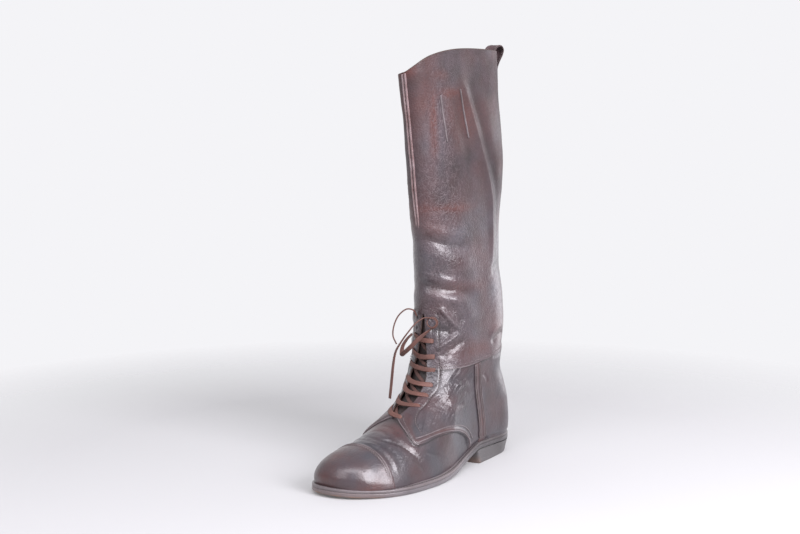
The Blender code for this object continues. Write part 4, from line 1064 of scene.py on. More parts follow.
def leather(name, dark, light, red, grey, rough, wax, grain=0.40, stretch=1.0, glint=0.0, slope=0.0,
            bend_by=0.3):
    """Polished leather: mottled colour, pores, a net of fine wrinkles with painted glints along it, streaks
    and a thin coat of wax.
    """
    material, tree, shader = new_material(name)

    def noise_at(scale, detail, output="Fac"):
        return texture(tree, place, scale, detail).outputs[output]

    def attribute(key):
        return add_node(tree, "Attribute", {"attribute_name": key}).outputs["Fac"]

    def painted(key, most, least=0.0):
        return ramp(tree, attribute(key), 0.0, 1.0, least, most)

    def bump(height, distance, below, strength):
        made = add_node(tree, "Bump", Height=height, Distance=distance, Normal=below, Strength=strength)
        return made.outputs["Normal"]

    place = add_node(tree, "TexCoord").outputs["Object"]
    clouds, specks = noise_at(CLOUD_SCALE, CLOUD_DETAIL), noise_at(SPECK_SCALE, SPECK_DETAIL)
    pores = add_node(tree, "TexVoronoi", Vector=place, Scale=PORE_SCALE).outputs["Distance"]
    bend = maths(tree, "VectorMath", "SCALE", _0=noise_at(BEND_SCALE, BEND_DETAIL, "Color"), Scale=BEND_SIZE)
    long = maths(tree, "VectorMath", "MULTIPLY", _0=place, _1=(1.0, 1.0, stretch))
    bent = maths(tree, "VectorMath", "ADD", _0=long, _1=bend)
    net = add_node(tree, "TexVoronoi", {"feature": "DISTANCE_TO_EDGE"}, Vector=bent, Scale=NET_SCALE)
    from_net = net.outputs["Distance"]
    # Painted glints: light lines along the net's edges where the skin is finely wrinkled
    glints = ramp(tree, from_net, 0.0, GLINT_SHARE, glint, 0.0)
    layers = (
        (painted("grey", GREY_MOST), grey),
        (painted("red", RED_MOST), red),
        (ramp(tree, specks, *SPECK_RANGE, 0.0, SPECK_MOST), light),
        (maths(tree, "Math", "MULTIPLY", _0=glints, _1=attribute("fine")), GLINT_COLOUR),
        # Painted shade, and the dark lines along the overlays' edges
        (painted("dark", DARK_MOST), DARK_COLOUR),
        (painted("worn", WORN_MOST), WORN_COLOUR),
    )
    colour = mixed(tree, ramp(tree, clouds, *CLOUD_RANGE), dark, light)
    for share, over in layers:
        colour = mixed(tree, share, colour, over)
    uneven = ramp(tree, specks, *MIDDLE_RANGE, rough - ROUGH_SWING, rough + ROUGH_SWING)
    roughness = maths(tree, "Math", "ADD", _0=uneven, _1=painted("dull", DULL_ROUGH))
    sunk = add_node(tree, "Bump", {"invert": True}, Height=pores, Strength=grain, Distance=PORE_BUMP)
    turned = add_node(tree, "Mapping", {"vector_type": "TEXTURE"}, Vector=place,
                      Rotation=(np.radians(slope), 0.0, 0.0), Scale=STREAK_SIZE).outputs[0]
    streaks = texture(tree, turned, 1.0, 1.0, Distortion=bend_by).outputs["Fac"]
    normal = bump(ramp(tree, from_net, 0.0, NET_SHARE), NET_BUMP, sunk.outputs["Normal"],
                  painted("fine", NET_STRENGTH))
    normal = bump(ramp(tree, streaks, *STREAK_RANGE), STREAK_BUMP, normal, painted("streak", STREAK_STRENGTH))
    looks = {
        "Base Color": colour,
        "Roughness": roughness,
        "Normal": normal,
        "Coat Weight": painted("dull", DULL_WAX * wax, wax),
        "Coat Roughness": COAT_ROUGHNESS,
        "Specular IOR Level": SPECULAR,
    }
    for key, value in looks.items():
        feed(tree, shader.inputs[key], value)
    return material


def plain(name, colour, rough, grain, scale=NAP_SCALE):
    """An even colour with a little mottling and a fine nap."""
    material, tree, shader = new_material(name)
    place = add_node(tree, "TexCoord").outputs["Object"]
    specks = texture(tree, place, scale, SPECK_DETAIL).outputs["Fac"]
    clouds = texture(tree, place, PLAIN_CLOUD_SCALE, BEND_DETAIL).outputs["Fac"]
    deep = tuple(PLAIN_DEEP * c for c in colour)
    feed(tree, shader.inputs["Base Color"], mixed(tree, ramp(tree, clouds, *MIDDLE_RANGE), deep, colour))
    nap = add_node(tree, "Bump", Height=specks, Strength=grain, Distance=NAP_BUMP)
    feed(tree, shader.inputs["Normal"], nap.outputs["Normal"])
    feed(tree, shader.inputs["Roughness"], rough)
    return material


# Making pieces
def grid_faces(rows, columns, wrap=False):
    index = np.arange(rows * columns).reshape(rows, columns)
    if wrap:
        index = np.hstack([index, index[:, :1]])
    corners = index[:-1, :-1], index[:-1, 1:], index[1:, 1:], index[1:, :-1]
    return np.stack(corners, -1).reshape(-1, 4).tolist()


def sheet(grid, wrap=False):
    """Points and faces of a grid of points; wrap closes its rows into rings."""
    grid = np.asarray(grid)
    return grid.reshape(-1, 3), grid_faces(*grid.shape[:2], wrap)


def tube(rings):
    """Points and faces of a closed tube through rings of points, with flat ends."""
    count, around = rings.shape[:2]
    points, faces = sheet(rings, wrap=True)
    return points, faces + [list(range(around))[::-1], list(range((count - 1) * around, count * around))]


def add_piece(name, points, faces, material, node, slot, weld=0.0, **fields):
    """A smooth mesh on the boot, in place of a CAD node, with painted fields."""
    mesh = bpy.data.meshes.new(name)
    mesh.from_pydata((np.asarray(points) + SHIFT).tolist(), [], faces)
    for key, values in fields.items():
        values = np.full(len(points), values, np.float32)
        mesh.attributes.new(key, "FLOAT", "POINT").data.foreach_set("value", values)
    work = bmesh.new()
    work.from_mesh(mesh)
    if weld:
        bmesh.ops.remove_doubles(work, verts=work.verts, dist=weld)
    bmesh.ops.recalc_face_normals(work, faces=work.faces)
    work.to_mesh(mesh)
    work.free()
    mesh.shade_smooth()
    mesh.materials.append(material)
    piece = bpy.data.objects.new(name, mesh)
    bpy.context.scene.collection.objects.link(piece)
    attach(piece, "root")
    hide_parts(node)
    return piece


def joined(runs):
    """Points and faces of several (points, faces) runs as one."""
    points, faces, first = [], [], 0
    for run_points, run_faces in runs:
        points.append(np.asarray(run_points).reshape(-1, 3))
        faces += [[first + k for k in face] for face in run_faces]
        first += len(points[-1])
    return np.vstack(points), faces


def form_grid(rows, theta):
    """Shape of a grid on the form, its points as a list, and their normals."""
    grid = point(rows[:, None], theta)
    flat = grid.reshape(-1, 3)
    return grid.shape, flat, form_normals(flat)


def tucked(grid, fields, depth):
    """A grid and its fields with the first row doubled and sunk by a depth, out of sight."""
    sunk = np.concatenate([grid[:1] - np.array([0.0, 0.0, depth]), grid])
    columns = grid.shape[1]
    return sunk, {key: np.concatenate([values[:columns], values]) for key, values in fields.items()}


def strap_section(corners, powers, width, thickness):
    """Places across and out of a flat strap, round its section."""
    turn = np.linspace(0, 2 * np.pi, corners, endpoint=False)
    ways = zip((np.cos(turn), np.sin(turn)), powers, (width, thickness))
    return [np.sign(way) * np.abs(way) ** power * size / 2 for way, power, size in ways]


def ribbon(middle, up, width, thickness):
    """A flat strap with rounded edges through the points, its face turned to up."""
    along = unit(np.gradient(middle, axis=0))
    across = unit(np.cross(along, up))
    face = unit(np.cross(across, along))
    wide, high = strap_section(RIBBON_CORNERS, RIBBON_POWERS, width, thickness)
    return tube(middle[:, None] + across[:, None] * wide[None, :, None] + face[:, None] * high[None, :, None])


def stitch_run(line, normals, pitch=STITCH_PITCH, size=1.0):
    """Stitches along a line on a skin: one small sunk capsule a stitch."""
    count = max(int(steps_of(line).sum() / pitch), 2)
    shares = (np.arange(count) + 0.5) / count
    middle, up = on_line(line, shares), unit(on_line(line, shares, normals))
    ahead = on_line(line, np.minimum(shares + STITCH_STEP, 1))
    along = unit(ahead - on_line(line, np.maximum(shares - STITCH_STEP, 0)))
    across = unit(np.cross(up, along))
    turns = np.linspace(0, 2 * np.pi, STITCH_SIDES, endpoint=False)
    rings = np.linspace(0, np.pi, STITCH_RINGS + 2)[1:-1]
    round_it = [(-np.cos(r), np.sin(r) ** STITCH_BLUNT * np.cos(t), np.sin(r) ** STITCH_BLUNT * np.sin(t))
                for r in rings for t in turns]
    half = size * np.array([STITCH_LENGTH, STITCH_WIDTH, STITCH_HEIGHT]) / 2
    shape = np.array([(-1, 0, 0)] + round_it + [(1, 0, 0)]) * half
    points = middle[:, None] + (shape[None, :, :1] * along[:, None] + shape[None, :, 1:2] * across[:, None]
                                + shape[None, :, 2:] * up[:, None])
    last, around = len(shape) - 1, [(k, (k + 1) % STITCH_SIDES) for k in range(STITCH_SIDES)]
    one = [(0, 1 + after, 1 + k) for k, after in around]
    one += [[1 + k for k in face] for face in grid_faces(STITCH_RINGS, STITCH_SIDES, wrap=True)]
    one += [(last, last - STITCH_SIDES + k, last - STITCH_SIDES + after) for k, after in around]
    return points.reshape(-1, 3), [[len(shape) * s + k for k in face] for s in range(count) for face in one]


# Upper and leg
def column_shares(length):
    """Shares of the way round a skin for its columns, closer together near the front."""
    steps, at = [0.0], 0.0
    while at < length / 2:
        plainer = float(smoothstep((at - FINE_REACH) / FINE_REACH))
        at += FINE_SPACING + (PLAIN_SPACING - FINE_SPACING) * plainer
        steps.append(at)
    half = np.array(steps) / steps[-1] / 2
    return np.concatenate([half, 1 - half[-2::-1]])


def sheet_turns(rows):
    """Turns of a sheet's columns at each row, from the throat's lateral edge round to its medial edge."""
    lateral, medial = (np.abs(throat_turn(rows, side)) for side in (1, -1))
    theta = np.linspace(0, 2 * np.pi, RING_SAMPLES)
    ring = point(float(rows.mean()), theta)
    u = column_shares(steps_of(ring).sum())
    even = np.interp(u, share_along(ring), theta)
    near, far = np.clip(1 - 2 * u, 0, 1) ** THROAT_FADE, np.clip(2 * u - 1, 0, 1) ** THROAT_FADE
    return even[None] + lateral[:, None] * near[None] - medial[:, None] * far[None]


def rim(outer, inner, outwards):
    """A half-round edge between two lines."""
    turn = np.linspace(0, np.pi, RIM_STEPS)[:, None, None]
    middle, half = (outer + inner) / 2, (outer - inner) / 2
    reach = np.linalg.norm(half, axis=-1, keepdims=True) * unit(outwards)
    return sheet(middle[None] + half[None] * np.cos(turn) + RIM_ROUND * reach[None] * np.sin(turn))


def make_wall(skin, rows, relief, looks, lining, edge, ends=()):
    """Outer skin, lining and rounded edges of the upper or the leg; ends names the rows that have an edge."""
    shape, flat, normals = form_grid(rows, sheet_turns(rows))
    height = relief(flat)
    outer = (flat + normals * height[:, None]).reshape(shape)
    inner = (flat + normals * (height - LEATHER)[:, None]).reshape(shape)
    # Painted shade in creases, eyelets and stitching grooves, and on the upper beside the quarter's edge and
    # under the ankle seam
    dark = np.clip(-height / CREASE_SHADE_DEPTH, 0, CREASE_SHADE_MOST) + punched(flat)
    dark += GROOVE_SHADE * creased(flat, FACING_GROOVES)
    if skin == "upper":
        beside = bell(quarter_depth(flat) + QUARTER_SHADE_OUT, QUARTER_SHADE_WIDTH)
        dark += EDGE_SHADE * beside * (flat[:, 2] < QUARTER_SHADE_TOP_Z)
        dark += EDGE_SHADE * bell(seam_height(flat) + SEAM_SHADE_BELOW, SEAM_SHADE_WIDTH)
    name, place = skin + "_skin", (skin, skin + "_leather")
    grid, fields = tucked(outer, looks_of(flat, skin) | {"dark": dark}, TUCK * (0 not in ends))
    add_piece(name, *sheet(grid), looks, *place, weld=WALL_WELD, **fields)
    add_piece(name + "_lining", *sheet(inner[:, ::LINING_STEP]), lining, *place)
    open_rows = np.flatnonzero(throat_half_gap(rows, 1) > OPEN_GAP)
    runs = []
    for column, beside in ((0, 1), (-1, -2)):
        lip = outer[open_rows, column]
        runs.append(rim(lip, inner[open_rows, column], lip - outer[open_rows, beside]))
    for row in ends:
        beside = 1 if row == 0 else -2
        runs.append(rim(outer[row], inner[row], outer[row] - outer[beside]))
    add_piece(name + "_edges", *joined(runs), edge, *place)


def make_leg(looks, lining, edge, bead, piping):
    rows = np.linspace(SEAM_V, COLLAR_V, SHAFT_ROWS)
    make_wall("shaft", rows, shaft_relief, looks, lining, edge, ends=(0, -1))
    runs = [ribbon(*skin_line(table, side, shaft_relief, 0.0), MARK_WIDTH, MARK_HEIGHT)
            for side in (1, -1) for table in STRAP_MARKS]
    add_piece("shaft_strap_marks", *joined(runs), bead, "shaft", "shaft_leather")
    rows = np.linspace(float(height_at_front(PIPING_LOW_Z)), PIPING_TOP_V, PIPING_POINTS)
    sink = -PIPING_SINK * (1 - smoothstep(np.linspace(0, PIPING_START, len(rows))))
    runs = []
    for half, side in PIPING:
        line = point(rows, turn_at_half_width(rows, np.full(len(rows), half), side))
        runs.append(ribbon(*on_skin(line, shaft_relief, sink), PIPING_WIDTH, PIPING_HEIGHT))
    points, faces = joined(runs)
    paint = {"red": mottled(points, "piping_red"), "fine": PIPING_FINE}
    add_piece("shaft_piping", points, faces, piping, "shaft", "shaft_leather", **paint)


def make_tongue(looks):
    low, high = (float(height_at_front(z)) for z in (TONGUE_LOW_Z, TONGUE_TOP_Z))
    rows = np.linspace(low, high, TONGUE_SHAPE[0])
    medial, lateral = (throat_turn(rows, side, TONGUE_LAP) for side in (-1, 1))
    shape, flat, normals = form_grid(rows, np.linspace(medial, lateral, TONGUE_SHAPE[1], axis=1))
    front = flat + normals * (mottled(flat, "tongue_folds") - LEATHER - TONGUE_CLEARANCE)[:, None]
    back = flat - normals * (LEATHER + TONGUE_CLEARANCE + TONGUE_THICKNESS)
    runs = [sheet(side.reshape(shape)) for side in (front, back)]
    add_piece("tongue_looks", *joined(runs), looks, "tongue", "tongue_leather")


# Overlays
def overlay(node, rows, theta, lift, looks, red, line, rounding=OVERLAY_ROUNDING, relief=no_relief,
            free_top=True):
    """A patch of leather on the form with rounded edges at its sides and, where it is free, its top."""
    shape, flat, normals = form_grid(rows, theta)
    free = np.zeros(shape[:2], bool)
    free[:, [0, -1]] = True
    free[-1] |= free_top
    edge = flat[free.reshape(-1)]
    depth = np.sqrt(((flat[:, None] - edge[None]) ** 2).sum(-1).min(1))
    share = np.clip(depth / rounding, 0, 1)
    height = (lift + TUCKED_EDGE) * np.sqrt(1 - (1 - share) ** 2) - TUCKED_EDGE
    height += mottled(flat, "overlay_swell") + relief(flat)
    fields = {
        "red": red + mottled(flat, "overlay_red"),
        "grey": mottled(flat, "overlay_grey"),
        "dark": np.exp(-depth / LINE_REACH) * line,
        "dull": mottled(flat, "overlay_dull"),
    }
    grid, fields = tucked((flat + normals * height[:, None]).reshape(shape), fields, TUCK)
    add_piece(node + "_looks", *sheet(grid), looks, node, "upper_leather", weld=OVERLAY_WELD, **fields)


def make_cap(looks):
    nose = np.argmin(FRONT_LOW[:, 0])
    top = float(np.interp(CAP_RIDGE_Y, FRONT_LOW[nose:, 0], share_along(FRONT_LOW)[nose:]))
    rows = top * (1 - (1 - np.linspace(0, 1, CAP_SHAPE[0])) ** CAP_CLOSING)
    edge_y = CAP_FEATHER_Y + (CAP_RIDGE_Y - CAP_FEATHER_Y) * (rows / top) ** CAP_ARC
    lateral, medial = turn_at_y(rows, edge_y, 1), turn_at_y(rows, edge_y, -1)
    u = np.linspace(-1, 1, CAP_SHAPE[1])
    theta = np.where(u[None] > 0, lateral[:, None] * u[None], -medial[:, None] * u[None])
    overlay("toe_cap", rows, theta, CAP_LIFT, looks, CAP_RED, CAP_LINE, relief=toe_flare)


def strap_y(rows, edge):
    """y of a side strap's edge, from -1 at its front to 1 behind, at heights v."""
    middle = STRAP_FOOT_Y + (STRAP_TOP_Y - STRAP_FOOT_Y) * smoothstep(rows * STRAP_BEND)
    return middle + edge * 0.5 * (STRAP_FOOT_WIDTH + (STRAP_TOP_WIDTH - STRAP_FOOT_WIDTH) * rows)


def make_overlays(looks):
    make_cap(looks)
    top = float(np.interp(COUNTER_TOP_Z, BACK_LOW[:, 1], share_along(BACK_LOW)))
    rows = np.linspace(0.0, top, COUNTER_SHAPE[0])
    lateral = turn_at_y(rows, read(COUNTER_EDGE, rows / top, 1), 1)
    theta = np.linspace(lateral, 2 * np.pi - lateral, COUNTER_SHAPE[1], axis=1)
    overlay("heel_counter", rows, theta, COUNTER_LIFT, looks, COUNTER_RED, COUNTER_LINE, COUNTER_ROUNDING)
    rows = np.linspace(0.0, 1.0, STRAP_SHAPE[0])
    for side, node in ((1, "side_strap_lateral"), (-1, "side_strap_medial")):
        first, last = (turn_at_y(rows, strap_y(rows, edge), side) for edge in (-1, 1))
        theta = np.linspace(first, last, STRAP_SHAPE[1], axis=1)
        overlay(node, rows, theta, STRAP_LIFT, looks, STRAP_RED, STRAP_LINE, relief=upper_relief,
                free_top=False)


# Stitches and raised lines
def strap_line(edge, side, foot):
    """A line up a side strap, with its normals."""
    rows = np.linspace(foot, STRAP_LINE_TOP, STRAP_LINE_POINTS)
    line = point(rows, turn_at_y(rows, strap_y(rows, edge), side))
    return on_skin(evenly(line), upper_relief, STRAP_LIFT)


def cap_line(back, lift):
    """A line across the toe cap this far in front of its edge, with its normals."""
    y = CAP_RIDGE_Y - back
    high = float(np.interp(y, RIDGE_Y, RIDGE[:, 1])) + CAP_LINE_HIGH
    low = float(feather_z(y)) + CAP_LINE_LOW
    z = high + (low - high) * np.linspace(0, 1, CAP_LINE_POINTS) ** 2
    return on_skin(evenly(across_front(y, z), CAP_SPACING), no_relief, lift)


def make_stitches(thread):
    runs = []
    for side in (1, -1):
        for table in QUARTER_ROWS + (QUARTER_FRONT_ROW, FACING_ROW):
            runs.append(stitch_run(*skin_line(table, side, upper_relief)))
        runs += [stitch_run(*strap_line(edge, side, STITCH_FOOT)) for edge in STRAP_STITCHES]
    add_piece("upper_stitches", *joined(runs), thread, "upper", "upper_leather")
    runs = [stitch_run(*cap_line(back + CAP_STITCH_BACK, CAP_LIFT + CAP_STITCH_LIFT)) for back in CAP_ROWS]
    add_piece("cap_stitches", *joined(runs), thread, "toe_cap", "upper_leather")
    runs = [stitch_run(*skin_line(FACING_ROW_HIGH, side, shaft_relief)) for side in (1, -1)]
    _, y, z = point(SEAM_V, SEAM_TURNS).T
    lateral = (np.sin(SEAM_TURNS) >= 0)[:, None]
    row = np.where(lateral, *(on_form(y, z + SEAM_ROW, side) for side in (1, -1)))
    runs.append(stitch_run(*on_skin(evenly(row), shaft_relief, SEAM_STITCH_LIFT)))
    add_piece("shaft_stitches", *joined(runs), thread, "shaft", "shaft_leather")


def make_beads(looks):
    """Narrow raised edges beside the seams."""
    runs, size = [], (BEAD_WIDTH, BEAD_HEIGHT)
    strap_size = [STRAP_BEAD_SIZE * length for length in size]
    for side in (1, -1):
        for table in QUARTER_ROWS + (BEADED_FRONT,):
            runs.append(ribbon(*skin_line(table, side, upper_relief, 0.0), *size))
        runs += [ribbon(*strap_line(edge, side, BEAD_FOOT), *strap_size) for edge in STRAP_BEADS]
    add_piece("upper_beads", *joined(runs), looks, "upper", "upper_leather")
    runs = [ribbon(*cap_line(back, CAP_LIFT), *size) for back in CAP_ROWS]
    add_piece("cap_beads", *joined(runs), looks, "toe_cap", "upper_leather")
    seam = on_skin(evenly(point(SEAM_V, SEAM_TURNS)), shaft_relief, SEAM_BEAD_LIFT)
    add_piece("shaft_bead", *ribbon(*seam, *size), looks, "shaft", "shaft_leather")


# Lace
def bar_run(k, shares, lateral, medial):
    """One bar of the lace, out of one eyelet, over the throat and down into the other."""
    (row_l, turn_l), (row_m, turn_m) = lateral[k], medial[k]
    slack = noise.noise(Vector((k * SLACK_STEP, *SLACK_PLACE)))
    lift = BAR_RISE * np.clip(np.sin(np.pi * shares), 0, 1) ** BAR_BLUNT - BAR_SINK
    reach = BAR_REACH[0] + (BAR_REACH[1] - BAR_REACH[0]) * shares
    sag = BAR_SAG * (BAR_SAG_BASE + slack) * np.sin(np.pi * shares) ** 2
    rows = row_m + (row_l - row_m) * shares - sag
    theta = (turn_m + (turn_l - turn_m) * shares) * reach
    middle, up = on_skin(point(rows, theta), no_relief, lift)
    along = unit(np.gradient(middle, axis=0))
    tilt = BAR_TILT * np.sin(np.pi * shares + BAR_TILT_STEP * k)
    width = LACE_WIDTH * (BAR_WIDTH + BAR_WIDTH_SWING * slack)
    return ribbon(middle, up + tilt[:, None] * np.cross(along, up), width, LACE_THICKNESS)


def slant_run(start, end, shares):
    """A strand under the bars, from one eyelet to the next one up on the other side."""
    rows, theta = (a + (b - a) * shares for a, b in zip(start, end))
    middle, up = on_skin(point(rows, theta), no_relief, SLANT_LIFT)
    return ribbon(middle, up, LACE_WIDTH * SLANT_WIDTH, LACE_THICKNESS)


def make_lace_bars(looks, shaded_looks):
    lateral, medial = (np.stack(eyelet_places(EYELET_HEIGHTS[side], side), -1) for side in (1, -1))
    shares = np.linspace(0, 1, BAR_POINTS)
    runs = [bar_run(k, shares, lateral, medial) for k in range(len(lateral))]
    add_piece("lace_bars_looks", *joined(runs), looks, "lace_bars", "lace_leather")
    # Strands under the bars, in the lace darkened as painted shade
    runs = [slant_run(lateral[k], medial[k + 1], shares) for k in range(len(lateral) - 1)]
    add_piece("lace_slants_looks", *joined(runs), shaded_looks, "lace_bars", "lace_leather")


def long_route():
    """The long end's middle line: up from its eyelet, once and a half round a small ring, and down."""
    share = np.linspace(0, 1, RING_POINTS)[:, None]
    turn = 2 * np.pi * (RING_TURNS[0] + (RING_TURNS[1] - RING_TURNS[0]) * share)
    radius = RING_RADII[0] + (RING_RADII[1] - RING_RADII[0]) * share
    spoke = np.cos(turn) * np.array(RING_RIGHT) + np.sin(turn) * np.array(RING_UP)
    ring = np.array(RING_MIDDLE) + radius * spoke + RING_ADVANCE * (share - 0.5) * np.array(RING_OUT)
    return np.vstack([LACE_LONG_START, ring, LACE_LONG_TAIL])


def make_lace_end(name, node, route, turns, looks):
    """A free end of the flat lace; turns is how far its face turns from the viewer."""
    route = np.asarray(route)
    fine = spline(route, ROUTE_STEPS)
    length = steps_of(fine).sum()
    shares = np.linspace(0, 1, int(length / LACE_SPACING))
    line = on_line(fine, shares)
    at_points = np.interp(np.arange(len(fine)) / ROUTE_STEPS, np.arange(len(route)), np.radians(turns))
    turn = np.interp(shares, share_along(fine), at_points)[:, None]
    along = unit(np.gradient(line, axis=0))
    facing = unit(np.array(RING_OUT) - along * (along @ np.array(RING_OUT))[:, None])
    up = np.cos(turn) * facing + np.sin(turn) * np.cross(along, facing)
    strap = ribbon(line, up, LACE_WIDTH, LACE_THICKNESS * END_THIN)
    piece = add_piece(name, *strap, looks, node, "lace_leather")


# Sole
def filled(loop):
    """Strips across a closed loop whose second half mirrors its first."""
    half = len(loop) // 2
    return sheet(np.linspace(loop[1:half], loop[half + 1:][::-1], STRIPS_ACROSS, axis=1))


def sole_loops(profile):
    loops = []
    for inset, height in profile:
        loop = outline(lambda y: inset, SOLE_POINTS)
        loops.append(np.column_stack([loop, sole_bottom(loop[:, 1]) + height]))
    return loops


def waist_shade(y):
    """How dark the sole's edge is painted: darker under the arch, darkest over the heel."""
    over_heel = smoothstep((y - HEEL_BREAST_Y + HEEL_SHADE_SPAN) / HEEL_SHADE_SPAN)
    return WAIST_SHADE * smoothstep(y / WAIST_SPAN) + HEEL_SHADE * over_heel


def make_outsole(looks):
    loops = sole_loops(SOLE_PROFILE)
    points, faces = joined([sheet(loops, wrap=True), filled(loops[0])])
    toe = smoothstep((TOE_WEAR_FROM_Y - points[:, 1]) / TOE_WEAR_SPAN)
    low = smoothstep((TOE_WEAR_HEIGHT - (points[:, 2] - sole_bottom(points[:, 1]))) / TOE_WEAR_HEIGHT)
    worn = toe * low * mottled(points, "toe_worn")
    add_piece("outsole_looks", points, faces, looks, "outsole", "sole_leather", red=TOE_RED * toe, worn=worn,
              dark=waist_shade(points[:, 1]), grey=mottled(points, "outsole_grey"))


def make_welt(looks, thread):
    loops = sole_loops(WELT_PROFILE)
    for inset, rise in WELT_INNER:
        loop = outline(lambda y: np.maximum(read(EDGE_INSET, y, 1) + inset, WELT_LEAST_INSET), SOLE_POINTS)
        loops.append(np.column_stack([loop, welt_top(loop[:, 1]) + rise]))
    points, faces = sheet(loops, wrap=True)
    add_piece("welt_looks", points, faces, looks, "welt", "sole_leather", red=WELT_RED,
              dark=waist_shade(points[:, 1]), grey=mottled(points, "welt_grey"))
    row = outline(lambda y: np.minimum(WELT_STITCH_SHARE * read(EDGE_INSET, y, 1), WELT_STITCH_MOST),
                  WELT_STITCH_SAMPLES)
    row = row[row[:, 1] < WELT_STITCH_END]
    row = np.roll(row, -np.argmax(steps_of(row)) - 1, axis=0)
    line = np.column_stack([row, welt_top(row[:, 1]) + WELT_STITCH_LIFT])
    up = np.tile((0.0, 0.0, 1.0), (len(line), 1))
    stitches = stitch_run(line, up, WELT_STITCH_PITCH, WELT_STITCH_SIZE)
    add_piece("welt_stitches", *stitches, thread, "welt", "sole_leather")


def make_heel(looks):
    """Stacked heel with a slightly flared breast, its lifts marked by one fine groove."""
    turn = np.linspace(0, 2 * np.pi, HEEL_POINTS, endpoint=False)
    y = HEEL_BREAST_Y + (HEEL_TIP - HEEL_BREAST_Y) * (1 - np.cos(turn)) / 2
    lateral = turn <= np.pi
    half = by_side(lateral, sole_half_width, y)
    front = rounded(y - HEEL_BREAST_Y, HEEL_CORNER, HEEL_CORNER_POWER)
    taper = np.minimum(read(HEEL_TAPER, y, 1), HEEL_TAPER_MOST * sole_half_width(y, -1))
    middle = (HEEL_BREAST_Y + HEEL_TIP) / 2
    loops = []
    for share, sharp in HEEL_RIM + tuple((level, 0.0) for level in HEEL_LEVELS):
        z = share * sole_bottom(y)
        groove = GROOVE_DEPTH * bell(z - HEEL_GROOVE_Z, GROOVE_WIDTH)
        width = np.maximum(half - (HEEL_INSET + taper * (1 - share) + sharp + groove), 0.0) * front
        x = read(SOLE_PLAN, y, 1) + np.where(lateral, 1, -1) * width
        along = middle + (y - middle) * (1 - (HEEL_INSET + sharp) / (HEEL_TIP - middle))
        loops.append(np.column_stack([x, along, z]))
    points, faces = joined([sheet(loops, wrap=True), filled(loops[0])])
    _, y, z = points.T
    breast = smoothstep((HEEL_BREAST_Y + BREAST_REACH - y) / BREAST_REACH)
    worn = BREAST_WORN * breast * smoothstep((BREAST_WEAR_Z - z) / BREAST_WEAR_SPAN)
    worn += FOOT_WORN * smoothstep((FOOT_WEAR_Z - z) / FOOT_WEAR_Z)
    add_piece("heel_looks", points, faces, looks, "heel", "heel_leather", red=HEEL_RED, worn=worn,
              grey=mottled(points, "heel_grey"))


def make_insole(looks):
    theta = np.linspace(INSOLE_ENDS, np.pi - INSOLE_ENDS, INSOLE_SHAPE[0])
    edges = []
    for side in (1, -1):
        edge = point(0.0, side * theta)
        along = np.gradient(edge[:, :2], axis=0)
        edge[:, :2] += unit(side * np.stack([-along[:, 1], along[:, 0]], -1)) * LEATHER
        edges.append(edge)
    grid = np.linspace(*edges, INSOLE_SHAPE[1], axis=1)
    dish = INSOLE_DISH * np.sin(np.pi * np.linspace(0, 1, INSOLE_SHAPE[1]))[None]
    grid[..., 2] = feather_z(grid[..., 1]) + INSOLE_THICKNESS - dish
    add_piece("insole_looks", *sheet(grid), looks, "insole", "lining_leather")


# Pull loop
def make_pull_loop(looks, thread):
    route = on_line(spline(LOOP_ROUTE), np.linspace(0, 1, LOOP_POINTS))
    foot = LOOP_ROUTE[-1][1]
    route[:, 0] += LOOP_LEAN * smoothstep((route[:, 1] - foot) / (route[:, 1].max() - foot))
    along = unit(np.gradient(route, axis=0))
    out = np.stack([-along[:, 1], along[:, 0]], -1)
    widest, reach = LEG_WIDTHS[-1][1], ROUNDING[-1][3]

    def bow(x):
        """How far the strap bends forward with the leg at this distance from its middle."""
        return reach * (1 - np.sqrt(1 - (x / widest) ** 2))

    wide, high = strap_section(LOOP_CORNERS, LOOP_POWERS, LOOP_WIDTH, LOOP_THICKNESS)
    rings = np.empty((LOOP_POINTS, LOOP_CORNERS, 3))
    rings[..., 0] = wide
    rings[..., 1:] = route[:, None] + out[:, None] * high[None, :, None]
    rings[..., 1] -= bow(wide)
    paint = {"red": LOOP_RED, "grey": LOOP_GREY, "dull": LOOP_DULL}
    add_piece("pull_loop_looks", *tube(rings), looks, "pull_loop", "shaft_leather", **paint)
    runs = []
    for x in (-LOOP_STITCH_X, LOOP_STITCH_X):
        for face in (-1, 1):
            y, z = (route + face * out * LOOP_THICKNESS / 2).T
            line = np.column_stack([np.full(len(route), x), y - bow(x), z])
            runs.append(stitch_run(line, np.column_stack([np.zeros(len(route)), face * out])))
    add_piece("pull_loop_stitches", *joined(runs), thread, "pull_loop", "shaft_leather")


# Studio
def add_camera():
    """The camera, and where it stands, looks and has its right."""
    data = bpy.data.cameras.new("camera")
    data.sensor_width = SENSOR_WIDTH
    data.lens = CAMERA_FOCAL_PX / PHOTO_WIDTH * SENSOR_WIDTH
    camera = bpy.data.objects.new("camera", data)
    heading = np.radians(CAMERA_HEADING)
    ahead = np.array([-np.sin(heading), np.cos(heading), 0])
    right = np.array([np.cos(heading), np.sin(heading), 0])
    place = SHIFT - ahead * CAMERA_DISTANCE + right * CAMERA_OFFSET
    camera.location = place + np.array([0, 0, CAMERA_HEIGHT])
    pitch = np.arctan2(PHOTO_HEIGHT / 2 - CAMERA_HORIZON_PX, CAMERA_FOCAL_PX)
    camera.rotation_euler = (np.pi / 2 - pitch, 0, heading)
    bpy.context.scene.collection.objects.link(camera)
    bpy.context.scene.camera = camera
    return np.array(camera.location), ahead, right


def add_light(name, place, target, size, power):
    data = bpy.data.lights.new(name, "AREA")
    data.shape, data.size, data.size_y = "RECTANGLE", *size
    data.energy, data.color = power, LIGHT_COLOUR
    light = bpy.data.objects.new(name, data)
    light.location = place
    light.rotation_euler = (Vector(target) - Vector(place)).to_track_quat("-Z", "Y").to_euler()
    bpy.context.scene.collection.objects.link(light)


